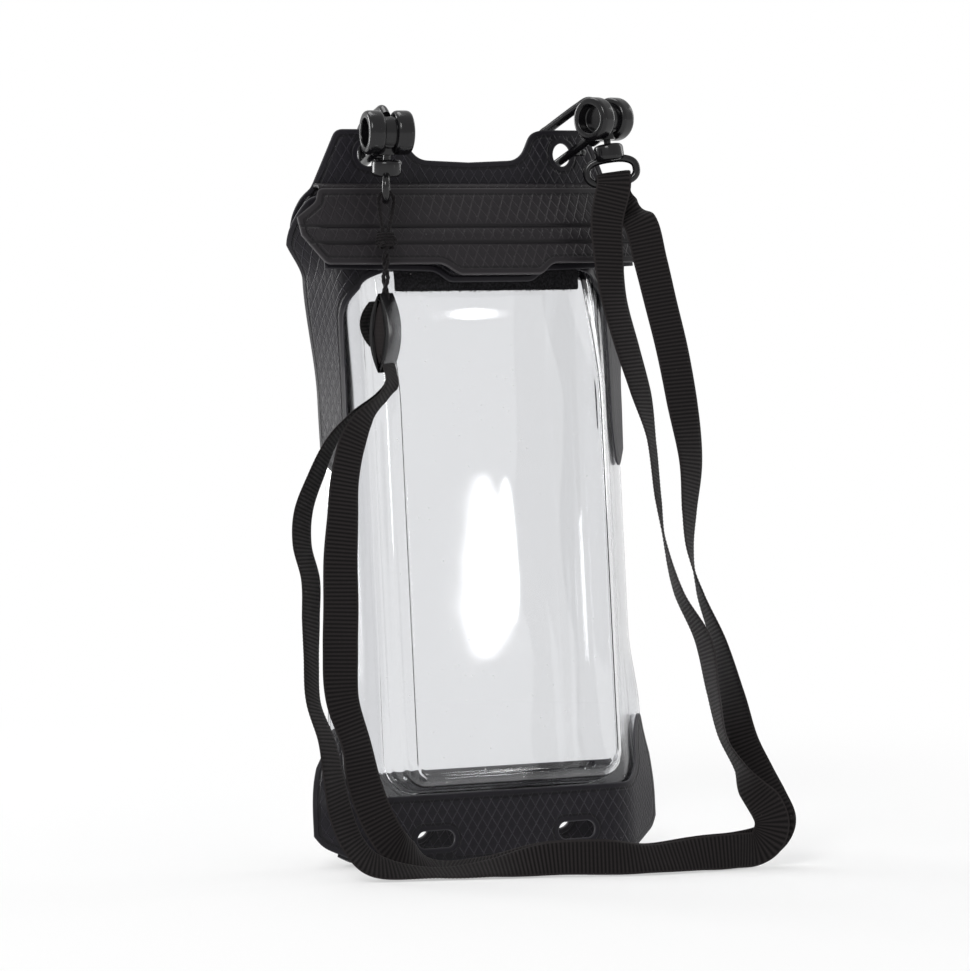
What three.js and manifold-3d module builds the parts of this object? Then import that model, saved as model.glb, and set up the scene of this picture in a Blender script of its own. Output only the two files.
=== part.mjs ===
// Waterproof phone pouch: a clear pocket in a black welded frame, two swivel bolt snaps and a ribbon lanyard.
// Millimetres, +Z up, X across the pouch. The front faces -Y and the pouch stands on Z = 0.
import * as THREE from "three";
import { mergeVertices } from "three/addons/utils/BufferGeometryUtils.js";
import Module from "manifold-3d";

const wasm = await Module();
wasm.setup();

const { degToRad, lerp, smoothstep } = THREE.MathUtils;

// Driving dimensions of the sheets
const HALF_WIDTH = 58; // from the middle of the flat sheet to its side edge
const SHEET = 0.8; // black textured sheet
const FILM = 0.5; // clear film
const GAP = 0.45; // between sheets that touch
const LEAN = degToRad(5.5); // the standing pouch leans back by this
const EDGE_STEP = 0.3; // the clear film stops this far inside the black sheet's edge
const REAR_SPARE = 0.7; // the rear sheets bend more, so they stand off a little further
const FLOOR_TRIM = 0.2; // cut off the bands' feet to stand flat

// Driving dimensions of the pocket
const POCKET_HALF_WIDTH = 37.5; // to the foot of the pocket's side wall
const POCKET_BOTTOM = 20.5; // height of the weld that closes the pocket
const POCKET_DEPTH = 9.5; // the front film stands forward by this
const POCKET_CORNER = 9;
const POCKET_WALL = 4.5; // the side wall leans over this width
const REAR_DEPTH = 4; // the rear film stands back by this

// Driving dimensions of the bottom band
const BAND_HEIGHT = POCKET_BOTTOM - 0.7; // the pocket stands forward just above it
const BAND_EAR_HEIGHT = 38;
const BAND_EAR_WIDTH = 11;
const FOOT_DEPTH = 17; // the rear band's lower edge stands back by this
const SLOT_LENGTH = 12;
const SLOT_HEIGHT = 4.8;
const SLOT_CENTRE = [23, 7.2]; // across and up
const FILM_FOOT = SLOT_CENTRE[1] + SLOT_HEIGHT / 2 + 1; // the films end just above the slots

// Driving dimensions of the upper frame and the closure
const MOUTH_HEIGHT = 188; // the front panel ends here
const ARCH_HEIGHT = MOUTH_HEIGHT - 22; // top of the window's arched cut-out
const LEG_END = 109; // lower end of the side legs
const LEG_WIDTH = 15;
const SHOULDER_DROP = 13; // the side edges slope in towards the mouth over this height
const EAR_TOP = MOUTH_HEIGHT + 18.5;
const EAR_HALF_WIDTH = 49.5;
const SADDLE_HEIGHT = MOUTH_HEIGHT + 9.2;
const HOLE_CENTRE = [32, MOUTH_HEIGHT + 11.4];
const HOLE_RADIUS = 3.3;
const FLAP_HALF_WIDTH = 57.5;
const FLAP_CREASE = MOUTH_HEIGHT + 2; // the flap folds over at this height
const FLAP_FOOT = FLAP_CREASE - 21.4;
const FLAP_REACH = 12.5; // how far forward the flap's foot stands
const TAB_HALF_WIDTH = 18;
const TAB_DROP = 3.1;
const LIP_FOOT = FLAP_FOOT - 2.2;
const LIP_REACH = 7.6; // how far forward the lip's foot stands
const HOOK_STRIP = [FLAP_FOOT + 2.4, FLAP_FOOT + 13.4]; // lower and upper edges, behind the flap
const STRIP_HALF_WIDTH = 48;
const LOOP_STRIP = [LIP_FOOT - 5.4, LIP_FOOT + 4.6]; // the same for the fuzzy strip behind the lip
const LOOP_STRIP_HALF_WIDTH = 30;
const FASTENER = 1.1; // thickness of the hook and loop strips

// Driving dimensions of a bolt snap
const CLIP_REACH = 18; // from the ear's hole forward to the middle of the lobes
const LOBE_RADIUS = 6.2;
const LOBE_WIDTH = 5;
const GROOVE = 3.2; // between the two lobes
const RECESS_RADIUS = 4;
const RECESS_DEPTH = 3.2;
const ARM_PITCH = degToRad(18); // the hook points down and back
const ARM_SPACING = 10.2; // upper arm to bolt
const ARM_SIZE = 2.6;
const BOLT_RADIUS = 1.2;
const BOLT_TRAVEL = 6;
const BOLT_DROP = 2.5; // the bolt's axis leaves the lobes this far below their middle
const RUNNING_CLEARANCE = 0.35;
const SEAT_GAP = 0.65; // from the bolt, square to its axis, down to the hole's lower edge
const BARREL_WALL = 1; // of the tube that holds the bolt and its spring
const SPRING_TURNS = 4;
const SPRING_WIRE = 0.3;
const SPRING_GAP = 0.2;
const NECK_RADIUS = 1;
const NECK_LENGTH = 1.3; // between the lobes and the collar
const COLLAR_RADIUS = 4.25;
const COLLAR_HEIGHT = 4.8;
const PIN_HEAD_RADIUS = 2;
const PIN_HEAD_HEIGHT = 1;
const COLLAR_LIP = 1; // the collar's top holds the pin's head
const RING_HALF_WIDTH = 7.1; // to the middle of the wire
const RING_HALF_HEIGHT = 3.6;
const RING_DROP = 7.7; // from the collar's top to the middle of the ring
const RING_WIRE_RADIUS = 1.2;
const HOOK_REACH = 5.5; // from the ear's hole to the hook's rounded back end, along the bolt
const HOOK_GAP = 12.2; // from the barrel's mouth to the ear's hole
const BARREL_BACK = 3; // the barrel starts this far before the lobes' middle
const KNOB_PLACE = 4.6; // from the knob's middle to the ear's hole
const KNOB_RADII = [0.95, 1.25]; // at its outer and inner ends
const KNOB_LENGTH = 4.6;
const KNOB_REACH = 2.9; // from the bolt's axis to the middle of the knob
const BOSS_RADIUS = 2.4; // joins the lobes to the neck

// Driving dimensions of the lanyard
const RIBBON_WIDTH = 10;
const RIBBON_THICKNESS = 0.9;
const CORD_RADIUS = 0.6;
const CLAMP_HEIGHT = 22;
const CLAMP_WIDTH = 11;
const CLAMP_HALF_DEPTH = 2.6; // how far each curved plate bulges
const CLAMP_WALL = 0.8;
const CLAMP_GAP = 0.6; // between the plates' edges
const CLAMP_PLACE = [-38.3, -14, 149.4];
const CLAMP_HEADING = degToRad(42); // of the ribbon's width in the clamp
const LOOP_HEIGHT = 13;
const LOOP_HALF_DEPTH = 3.2;
const LOOP_RISE = 2.5; // the loop's middle above the clamp's
const ENDS_SHORT = 3; // the ribbon's ends are shorter than the room in the clamp by this

const FRONT_FILM = (GAP + FILM) / 2;
const FRONT_SHEET = FRONT_FILM + FILM / 2 + GAP + SHEET / 2;
const REAR_SHEET = FRONT_SHEET + REAR_SPARE;
const ON_PANEL = FRONT_SHEET + SHEET + GAP; // a sheet that lies on the front panel

// The bent sheet at several heights: half width of its flat middle, width of each bend,
// and how far the left and right sides turn back.
const STATIONS = [
  { v: 0, flat: 35, bend: 9, left: 36, right: 34 },
  { v: 14, flat: 35, bend: 9, left: 40, right: 34 },
  { v: 38, flat: 36, bend: 6, left: 76, right: 40 },
  { v: 62, flat: 37, bend: 5, left: 87, right: 48 },
  { v: MOUTH_HEIGHT - 58, flat: 37, bend: 5, left: 87, right: 48 },
  { v: MOUTH_HEIGHT - 24, flat: 34, bend: 9, left: 76, right: 38 },
  { v: FLAP_CREASE, flat: 15, bend: 34, left: 16, right: 14 },
  { v: EAR_TOP + 5.5, flat: 15, bend: 34, left: 16, right: 14 },
];

function station(v) {
  const above = STATIONS.findIndex((s) => s.v >= v);
  if (above <= 0) return STATIONS[above < 0 ? STATIONS.length - 1 : 0];
  const [a, b] = [STATIONS[above - 1], STATIONS[above]];
  const t = smoothstep(v, a.v, b.v);
  const mix = (key) => lerp(a[key], b[key], t);
  return { flat: mix("flat"), bend: mix("bend"), left: mix("left"), right: mix("right") };
}

// A point of the bent sheet in plan: flat middle, an arc, then a straight side. Also its outward normal.
function plan(u, v) {
  const s = station(v);
  const side = Math.sign(u) || 1;
  const turn = degToRad(side < 0 ? s.left : s.right);
  const bent = THREE.MathUtils.clamp(Math.abs(u) - s.flat, 0, s.bend);
  const straight = Math.max(Math.abs(u) - s.flat - s.bend, 0);
  const angle = (turn * bent) / s.bend;
  const radius = s.bend / turn;
  const x = Math.min(Math.abs(u), s.flat) + radius * Math.sin(angle) + straight * Math.cos(turn);
  const y = radius * (1 - Math.cos(angle)) + straight * Math.sin(turn);
  return { x: side * x, y, nx: side * Math.sin(angle), ny: -Math.cos(angle) };
}

const leanAt = (v) => v * Math.tan(LEAN);

// How far the pocket's front stands forward: a rounded box that fades out towards the mouth.
function bulge(u, v) {
  const across = Math.abs(u) - (POCKET_HALF_WIDTH - POCKET_CORNER);
  const down = POCKET_BOTTOM + POCKET_CORNER - v;
  const outside = Math.hypot(Math.max(across, 0), Math.max(down, 0));
  const edge = outside + Math.min(Math.max(across, down), 0) - POCKET_CORNER;
  const closing = 1 - smoothstep(v, MOUTH_HEIGHT - 12, MOUTH_HEIGHT - 2);
  const fade = lerp(1, 0.1, smoothstep(v, MOUTH_HEIGHT - 60, MOUTH_HEIGHT - 10)) * closing;
  return POCKET_DEPTH * smoothstep(-edge, 0, POCKET_WALL) * fade;
}

function frontSurface(u, v) {
  const p = plan(u, v);
  const b = bulge(u, v);
  return new THREE.Vector3(p.x + b * p.nx, p.y + b * p.ny + leanAt(v), v);
}

// The band and the ears lie flat on the frame, without the pocket's bulge.
function frameSurface(u, v) {
  const p = plan(u, v);
  return new THREE.Vector3(p.x, p.y + leanAt(v), v);
}

const SEAM_START = 50; // the front and rear sheets lie together outside this
const LEVEL_HALF_WIDTH = 26; // the rear sheet is level inside this

// A rear sheet: level behind the middle, then a curve in plan that joins the side seam.
// leaving gives the curve's last control point, apartAt how far the sheet has left the frame at a height.
function rearSurface(depthAt, leaving, apartAt) {
  return (u, v) => {
    const onFrame = frameSurface(u, v);
    if (Math.abs(u) >= SEAM_START) return onFrame;
    const side = Math.sign(u) || 1;
    const seam = plan(side * SEAM_START, v);
    const depth = depthAt(v);
    const curve = new THREE.CubicBezierCurve(
      new THREE.Vector2(side * LEVEL_HALF_WIDTH, depth),
      new THREE.Vector2(side * (LEVEL_HALF_WIDTH + 9), depth),
      leaving(seam, side, depth),
      new THREE.Vector2(seam.x, seam.y),
    );
    const share = (Math.abs(u) - LEVEL_HALF_WIDTH) / (SEAM_START - LEVEL_HALF_WIDTH);
    const p = share > 0 ? curve.getPoint(share) : new THREE.Vector2(u, depth);
    const apart = apartAt(v);
    return new THREE.Vector3(lerp(onFrame.x, p.x, apart), lerp(onFrame.y, p.y + leanAt(v), apart), v);
  };
}
// The rear film leaves the seam smoothly, and lies on the front film below the pocket and at the mouth.
const rearFilmSurface = rearSurface(
  () => REAR_DEPTH,
  (seam, side) => new THREE.Vector2(seam.x + side * 6 * seam.ny, seam.y - side * 6 * seam.nx),
  (v) =>
    smoothstep(v, POCKET_BOTTOM - 8, POCKET_BOTTOM + 4) *
    (1 - smoothstep(v, MOUTH_HEIGHT - 38, MOUTH_HEIGHT - 2)),
);
// The rear band swings back from the film to its foot, with a crease at the seam.
const rearFrameSurface = rearSurface(
  (v) => lerp(FOOT_DEPTH, REAR_DEPTH, smoothstep(v, -8, BAND_HEIGHT + 8)),
  (seam, side, depth) => new THREE.Vector2(seam.x - side * 6, lerp(seam.y, depth, 0.35)),
  () => 1,
);

// The closure flap: folded over at its crease, it slopes down and forward.
function flapSurface(u, v) {
  const p = plan(u, FLAP_CREASE);
  const t = (FLAP_CREASE - v) / (FLAP_CREASE - FLAP_FOOT);
  const forward = lerp(ON_PANEL, FLAP_REACH, t);
  return new THREE.Vector3(p.x, p.y - forward + leanAt(v), v);
}

function lipSurface(u, v) {
  const p = plan(u, FLAP_CREASE);
  const forward = lerp(LIP_REACH, ON_PANEL, smoothstep(v, LIP_FOOT - TAB_DROP, MOUTH_HEIGHT));
  return new THREE.Vector3(p.x, p.y - forward + leanAt(v), v);
}

// A surface's point moved off it by n, towards the front.
function offsetFrom(surface, u, v, n) {
  const h = 0.05;
  const across = surface(u + h, v).sub(surface(u - h, v));
  const up = surface(u, v + h).sub(surface(u, v - h));
  return surface(u, v).addScaledVector(across.cross(up).normalize(), n);
}

// Closed solids
function toSolid(geometry) {
  const bare = geometry.clone();
  for (const name of ["normal", "uv"]) bare.deleteAttribute(name);
  const merged = mergeVertices(bare, 1e-4);
  return new wasm.Manifold(
    new wasm.Mesh({
      numProp: 3,
      vertProperties: merged.attributes.position.array,
      triVerts: new Uint32Array(merged.index.array),
    }),
  );
}

function toGeometry(solid) {
  const mesh = solid.getMesh();
  return indexed(mesh.vertProperties, mesh.triVerts);
}

function indexed(positions, faces) {
  const geometry = new THREE.BufferGeometry();
  geometry.setAttribute("position", new THREE.Float32BufferAttribute(Array.from(positions), 3));
  geometry.setIndex(Array.from(faces));
  geometry.computeVertexNormals();
  return geometry;
}

const joined = (...geometries) => toGeometry(geometries.map(toSolid).reduce((a, b) => a.add(b)));
const cut = (geometry, ...tools) =>
  toGeometry(tools.map(toSolid).reduce((a, b) => a.subtract(b), toSolid(geometry)));

// A sheet on a grid, bent to a surface, its middle layer offset by n. heightAt gives each row's height.
function gridSheet(across, rows, heightAt, thickness, surface, n) {
  const columns = across.length;
  const points = [n - thickness / 2, n + thickness / 2].flatMap((level) =>
    rows.flatMap((row) => across.map((u) => offsetFrom(surface, u, heightAt(u, row), level))),
  );
  const layer = columns * rows.length;
  const faces = [];
  const quad = (a, b, c, d) => faces.push([a, b, c], [a, c, d]);
  for (let row = 0; row < rows.length - 1; row++)
    for (let column = 0; column < columns - 1; column++) {
      const a = row * columns + column;
      const [b, c, d] = [a + 1, a + 1 + columns, a + columns];
      quad(a + layer, b + layer, c + layer, d + layer);
      quad(a, d, c, b);
    }
  const rim = [
    ...across.map((_, i) => i),
    ...rows.slice(1).map((_, i) => (i + 2) * columns - 1),
    ...across.slice(1).map((_, i) => layer - 2 - i),
    ...rows.slice(1, -1).map((_, i) => layer - (i + 2) * columns),
  ];
  rim.forEach((a, i) => {
    const b = rim[(i + 1) % rim.length];
    quad(a, b, b + layer, a + layer);
  });
  return indexed(points.flatMap((p) => p.toArray()), faces.flat());
}

// Evenly spaced lines from stop to stop, each stop with its count of steps.
function lines(stops) {
  const all = [stops[0][0]];
  stops.slice(1).forEach(([to, count], i) => {
    for (let k = 1; k <= count; k++) all.push(lerp(stops[i][0], to, k / count));
  });
  return all;
}

// An edge of a sheet, from the middle outwards: straight runs with rounded corners.
function edge(points, radius) {
  const corners = points.map((p) => new THREE.Vector2(...p));
  return corners.flatMap((here, i) => {
    if (i === 0 || i === corners.length - 1) return [here];
    const towards = (other) => here.clone().lerp(other, Math.min(radius / here.distanceTo(other), 0.48));
    const [before, after] = [corners[i - 1], corners[i + 1]].map(towards);
    return new THREE.QuadraticBezierCurve(before, here, after).getPoints(2);
  });
}

function heightOn(edgePoints, u) {
  const after = edgePoints.findIndex((p) => p.x >= u);
  if (after <= 0) return edgePoints[after < 0 ? edgePoints.length - 1 : 0].y;
  const [a, b] = [edgePoints[after - 1], edgePoints[after]];
  return lerp(a.y, b.y, (u - a.x) / (b.x - a.x));
}

const BEND_LINES = [20, 26, 31, 35, 38, 41, 45, 50, 53];
const CLOSEST_LINES = 0.7;

// Grid lines across a sheet: every corner of its edges and enough lines for its bends.
function linesAcross(...edges) {
  const corners = edges.flatMap((e) => e.map((p) => p.x));
  const reach = Math.max(...corners);
  const apart = (list, least) => list.filter((u, i) => i === 0 || u - list[i - 1] > least);
  const kept = apart(corners.toSorted((a, b) => a - b), CLOSEST_LINES);
  const extra = BEND_LINES.filter((u) => u < reach && kept.every((k) => Math.abs(k - u) > 2 * CLOSEST_LINES));
  const half = [...kept, ...extra].sort((a, b) => a - b);
  half[half.length - 1] = reach;
  return [...half.slice(1).map((u) => -u).reverse(), ...half];
}

const evenly = (count) => lines([[0, 0], [1, count]]);

// A sheet between a lower and an upper edge, the same on both sides of the middle.
function edgedSheet(low, high, rows, thickness, surface, n) {
  const heightAt = (u, t) => lerp(heightOn(low, Math.abs(u)), heightOn(high, Math.abs(u)), t);
  return gridSheet(linesAcross(low, high), rows, heightAt, thickness, surface, n);
}

const CUT_REACH = 8; // a cutter stands out of the sheet by this on both faces

// A cutter through a sheet at (u, v), along the sheet's own normal.
function throughSheet(shape, surface, u, v) {
  const depth = 2 * CUT_REACH;
  const cutter = new THREE.ExtrudeGeometry(shape, { depth, bevelEnabled: false, curveSegments: 8 });
  const normal = offsetFrom(surface, u, v, 1).sub(surface(u, v));
  const turn = new THREE.Quaternion().setFromUnitVectors(new THREE.Vector3(0, -1, 0), normal);
  cutter.translate(0, 0, -CUT_REACH).rotateX(Math.PI / 2).applyQuaternion(turn);
  return cutter.translate(...surface(u, v).toArray());
}

function slotShape() {
  const slot = new THREE.Shape();
  const reach = (SLOT_LENGTH - SLOT_HEIGHT) / 2;
  slot.absarc(reach, 0, SLOT_HEIGHT / 2, -Math.PI / 2, Math.PI / 2, false);
  slot.absarc(-reach, 0, SLOT_HEIGHT / 2, Math.PI / 2, (3 * Math.PI) / 2, false);
  return slot;
}

const holeShape = () => new THREE.Shape().absarc(0, 0, HOLE_RADIUS, 0, 2 * Math.PI, false);
const onBothSides = (make) => [-1, 1].map(make);

// The bottom band with an ear at each side and two lashing slots.
function band(middleTop, surface, n) {
  const inner = HALF_WIDTH - BAND_EAR_WIDTH;
  const low = edge([[0, 0], [41, 0], [HALF_WIDTH - 2.5, 5.4], [HALF_WIDTH, 8.4]], 3);
  const high = edge(
    [
      [0, middleTop],
      [inner - 5, middleTop],
      [inner, middleTop + 4.5],
      [inner + 1.5, BAND_EAR_HEIGHT - 5],
      [inner + 5, BAND_EAR_HEIGHT],
      [HALF_WIDTH - 3, BAND_EAR_HEIGHT],
      [HALF_WIDTH, BAND_EAR_HEIGHT - 12],
    ],
    2.5,
  );
  const [slotX, slotZ] = SLOT_CENTRE;
  const slots = onBothSides((side) => throughSheet(slotShape(), surface, side * slotX, slotZ));
  const floor = new THREE.BoxGeometry(4 * HALF_WIDTH, 4 * HALF_WIDTH, 2).translate(0, 0, FLOOR_TRIM - 1);
  return cut(edgedSheet(low, high, evenly(5), SHEET, surface, n), floor, ...slots);
}

const LEG_INNER = HALF_WIDTH - LEG_WIDTH;
// The arch over the window and the rounded lower end of each leg.
const archEdge = () =>
  edge(
    [
      [0, ARCH_HEIGHT],
      [LEG_INNER - 9, ARCH_HEIGHT],
      [LEG_INNER - 1, ARCH_HEIGHT - 10],
      [LEG_INNER, LEG_END + 12],
      [LEG_INNER + 4, LEG_END + 2],
      [LEG_INNER + 9, LEG_END],
      [HALF_WIDTH, LEG_END + 5],
    ],
    4,
  );

// A leg is straight at first and turns flat towards the mouth, so its rows crowd there.
const PANEL_ROWS = lines([[0, 0], [0.55, 2], [1, 6]]);

// The mouth's edge, sloping down at the shoulders.
const mouthEdge = (top, halfWidth) => {
  const shoulder = [EAR_HALF_WIDTH + 3, top - 2];
  return edge([[0, top], [EAR_HALF_WIDTH, top], shoulder, [halfWidth, top - SHOULDER_DROP]], 1.5);
};

function frontPanel() {
  const high = mouthEdge(MOUTH_HEIGHT, HALF_WIDTH);
  return edgedSheet(archEdge(), high, PANEL_ROWS, SHEET, frontSurface, FRONT_SHEET);
}

// The rear panel is taller: it carries the two ears and the saddle between them.
function rearPanel() {
  const high = edge(
    [
      [0, SADDLE_HEIGHT],
      [15, SADDLE_HEIGHT + 0.6],
      [18, SADDLE_HEIGHT + 2.4],
      [21, EAR_TOP - 1.2],
      [24.5, EAR_TOP],
      [41.5, EAR_TOP],
      [EAR_HALF_WIDTH, FLAP_CREASE],
      [EAR_HALF_WIDTH + 3, MOUTH_HEIGHT - 2],
      [HALF_WIDTH, MOUTH_HEIGHT - SHOULDER_DROP],
    ],
    2,
  );
  const holes = onBothSides((side) =>
    throughSheet(holeShape(), rearFilmSurface, side * HOLE_CENTRE[0], HOLE_CENTRE[1]),
  );
  return cut(edgedSheet(archEdge(), high, PANEL_ROWS, SHEET, rearFilmSurface, -REAR_SHEET), ...holes);
}

function closureFlap() {
  const low = edge(
    [
      [0, FLAP_FOOT - TAB_DROP],
      [TAB_HALF_WIDTH - 4.6, FLAP_FOOT - TAB_DROP],
      [TAB_HALF_WIDTH, FLAP_FOOT],
      [FLAP_HALF_WIDTH - 5, FLAP_FOOT],
      [FLAP_HALF_WIDTH, FLAP_FOOT + 8],
    ],
    1.5,
  );
  const high = edge(
    [
      [0, FLAP_CREASE - GAP],
      [EAR_HALF_WIDTH, FLAP_CREASE - GAP],
      [EAR_HALF_WIDTH + 1.5, FLAP_CREASE - 4],
      [FLAP_HALF_WIDTH, FLAP_FOOT + 13],
    ],
    1.5,
  );
  return edgedSheet(low, high, evenly(2), SHEET, flapSurface, 0);
}

function innerLip() {
  const low = edge(
    [
      [0, LIP_FOOT - TAB_DROP],
      [TAB_HALF_WIDTH - 4.6, LIP_FOOT - TAB_DROP],
      [TAB_HALF_WIDTH, LIP_FOOT],
      [FLAP_HALF_WIDTH - 7, LIP_FOOT + 1],
    ],
    1.5,
  );
  const high = edge([[0, MOUTH_HEIGHT - 3], [FLAP_HALF_WIDTH - 7, MOUTH_HEIGHT - 3]], 0);
  return edgedSheet(low, high, evenly(4), SHEET, lipSurface, 0);
}

// A plain strip with square ends, thickness as given.
function strip(halfWidth, low, high, thickness, surface, n) {
  const edges = [low, high].map((v) => edge([[0, v], [halfWidth, v]], 0));
  return edgedSheet(...edges, evenly(2), thickness, surface, n);
}

// Bolt snap, in its own frame: the origin is the middle of the lobes, +Y back, X along the lobes' axis.
const BOLT_AXIS = new THREE.Vector3(0, Math.cos(ARM_PITCH), -Math.sin(ARM_PITCH));
const ARM_UP = new THREE.Vector3(0, Math.sin(ARM_PITCH), Math.cos(ARM_PITCH));
const BOLT_START = new THREE.Vector3(0, 0, -BOLT_DROP);
const SPRING_LENGTH = SPRING_TURNS * SPRING_WIRE; // pressed flat
const ALONG = CLIP_REACH / Math.cos(ARM_PITCH); // from the lobes to the ear's hole, along the bolt
const NOSE = ALONG + HOOK_REACH;
const BARREL = [-BARREL_BACK, ALONG - HOOK_GAP];
const BARREL_FLOOR = BARREL[0] + BARREL_WALL;
const BOLT_TIP = NOSE - ARM_SIZE / 2 - RUNNING_CLEARANCE;
const COLLAR_TOP = -LOBE_RADIUS - NECK_LENGTH;

const onArm = (along, up) =>
  BOLT_START.clone().addScaledVector(BOLT_AXIS, along).addScaledVector(ARM_UP, up);

function rodAlongX(radius, from, to, segments = 20) {
  const rod = new THREE.CylinderGeometry(radius, radius, to - from, segments);
  return rod.rotateZ(Math.PI / 2).translate((from + to) / 2, 0, 0);
}

// A rod parallel to the bolt.
function rodOnBolt(radius, from, to, segments = 14) {
  const rod = new THREE.CylinderGeometry(radius, radius, to - from, segments);
  rod.applyQuaternion(new THREE.Quaternion().setFromUnitVectors(new THREE.Vector3(0, 1, 0), BOLT_AXIS));
  return rod.translate(...onArm((from + to) / 2, 0).toArray());
}

// A lobe: a disc with a rounded rim and a round recess in its outer face.
function lobe(side) {
  const rim = 1.4;
  const inner = GROOVE / 2;
  const outer = inner + LOBE_WIDTH;
  const floor = outer - RECESS_DEPTH;
  const arc = (cx, from, to) =>
    Array.from({ length: 3 }, (_, i) => {
      const a = lerp(from, to, i / 2);
      return new THREE.Vector2(LOBE_RADIUS - rim + rim * Math.cos(a), cx + rim * Math.sin(a));
    });
  const profile = [
    new THREE.Vector2(0, inner),
    ...arc(inner + rim, -Math.PI / 2, 0),
    ...arc(outer - rim, 0, Math.PI / 2),
    new THREE.Vector2(RECESS_RADIUS + 0.3, outer),
    new THREE.Vector2(RECESS_RADIUS, outer - 0.4),
    new THREE.Vector2(RECESS_RADIUS, floor),
    new THREE.Vector2(0, floor),
  ];
  return new THREE.LatheGeometry(profile, 24).rotateZ(side > 0 ? -Math.PI / 2 : Math.PI / 2);
}

// The upper arm leaves the groove, runs over the ear and turns down behind it to meet the bolt's tip.
function hookArm() {
  const section = new THREE.Shape().absarc(0, 0, ARM_SIZE / 2, 0, 2 * Math.PI, false);
  const top = ARM_SPACING;
  const points = [
    onArm(-1, top - 3),
    onArm(2, top - 0.4),
    onArm(6, top),
    onArm(ALONG, top),
    onArm(NOSE - 3, top),
    onArm(NOSE - 0.6, top - 1.2),
    onArm(NOSE, top - 3.6),
    onArm(NOSE, 2),
    onArm(NOSE, -1.2),
  ];
  const path = new THREE.CatmullRomCurve3(points, false, "centripetal");
  return new THREE.ExtrudeGeometry(section, { extrudePath: path, steps: 15, curveSegments: 3 });
}

function clipBody() {
  const hub = rodAlongX(LOBE_RADIUS - 1.6, -GROOVE / 2 - 0.2, GROOVE / 2 + 0.2);
  const barrel = rodOnBolt(BOLT_RADIUS + RUNNING_CLEARANCE + BARREL_WALL, BARREL[0], BARREL[1]);
  const upright = (radius, from, to, sides) =>
    new THREE.CylinderGeometry(radius, radius, to - from, sides)
      .rotateX(Math.PI / 2)
      .translate(0, 0, (from + to) / 2);
  const headTop = COLLAR_TOP - COLLAR_LIP - RUNNING_CLEARANCE;
  const boss = upright(BOSS_RADIUS, -LOBE_RADIUS, -LOBE_RADIUS / 3, 20);
  const neck = upright(NECK_RADIUS, headTop - PIN_HEAD_HEIGHT / 2, -LOBE_RADIUS + 1, 16);
  const head = upright(PIN_HEAD_RADIUS, headTop - PIN_HEAD_HEIGHT, headTop, 20);
  const bore = rodOnBolt(BOLT_RADIUS + RUNNING_CLEARANCE, BARREL_FLOOR, BARREL[1] + 1);
  return cut(joined(lobe(1), lobe(-1), hub, hookArm(), barrel, boss, neck, head), bore);
}

// The return spring, pressed flat on the barrel's floor: its turns lie on each other as one ribbed ring.
function boltSpring() {
  const outer = BOLT_RADIUS + RUNNING_CLEARANCE - SPRING_GAP;
  const inner = outer - SPRING_WIRE;
  const turns = Array.from({ length: SPRING_TURNS }, (_, i) => i * SPRING_WIRE);
  const profile = [
    ...turns.flatMap((y) => [[outer - SPRING_WIRE / 4, y], [outer, y + SPRING_WIRE / 2]]),
    [outer - SPRING_WIRE / 4, SPRING_LENGTH],
    [inner, SPRING_LENGTH],
    [inner, 0],
    [outer - SPRING_WIRE / 4, 0],
  ];
  const spring = new THREE.LatheGeometry(profile.map((p) => new THREE.Vector2(...p)), 14);
  spring.applyQuaternion(new THREE.Quaternion().setFromUnitVectors(new THREE.Vector3(0, 1, 0), BOLT_AXIS));
  return spring.translate(...onArm(BARREL_FLOOR + SPRING_GAP, 0).toArray());
}

// The sliding bolt with its thumb knob.
function clipBolt() {
  const rod = rodOnBolt(BOLT_RADIUS, BARREL_FLOOR + BOLT_TRAVEL + SPRING_LENGTH + 2 * SPRING_GAP, BOLT_TIP);
  const knob = new THREE.CylinderGeometry(...KNOB_RADII, KNOB_LENGTH, 14).rotateZ(-Math.PI / 2);
  knob.translate(KNOB_REACH, 0, 0).translate(...onArm(ALONG - KNOB_PLACE, 0).toArray());
  return joined(rod, knob);
}

// The swivel collar with the lanyard ring under it, from the collar's top down.
function swivelRing() {
  const cavity = PIN_HEAD_RADIUS + 0.5;
  const bore = NECK_RADIUS + RUNNING_CLEARANCE;
  const floor = -COLLAR_LIP - PIN_HEAD_HEIGHT - 2 * RUNNING_CLEARANCE;
  const chamfer = 0.8;
  const profile = [
    [0, -COLLAR_HEIGHT],
    [COLLAR_RADIUS - chamfer, -COLLAR_HEIGHT],
    [COLLAR_RADIUS, chamfer - COLLAR_HEIGHT],
    [COLLAR_RADIUS, -chamfer],
    [COLLAR_RADIUS - chamfer, 0],
    [bore, 0],
    [bore, -COLLAR_LIP],
    [cavity, -COLLAR_LIP],
    [cavity, floor],
    [0, floor],
  ];
  const collar = new THREE.LatheGeometry(profile.map((p) => new THREE.Vector2(...p)), 20);
  return joined(collar.rotateX(Math.PI / 2), ringWire());
}

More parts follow.
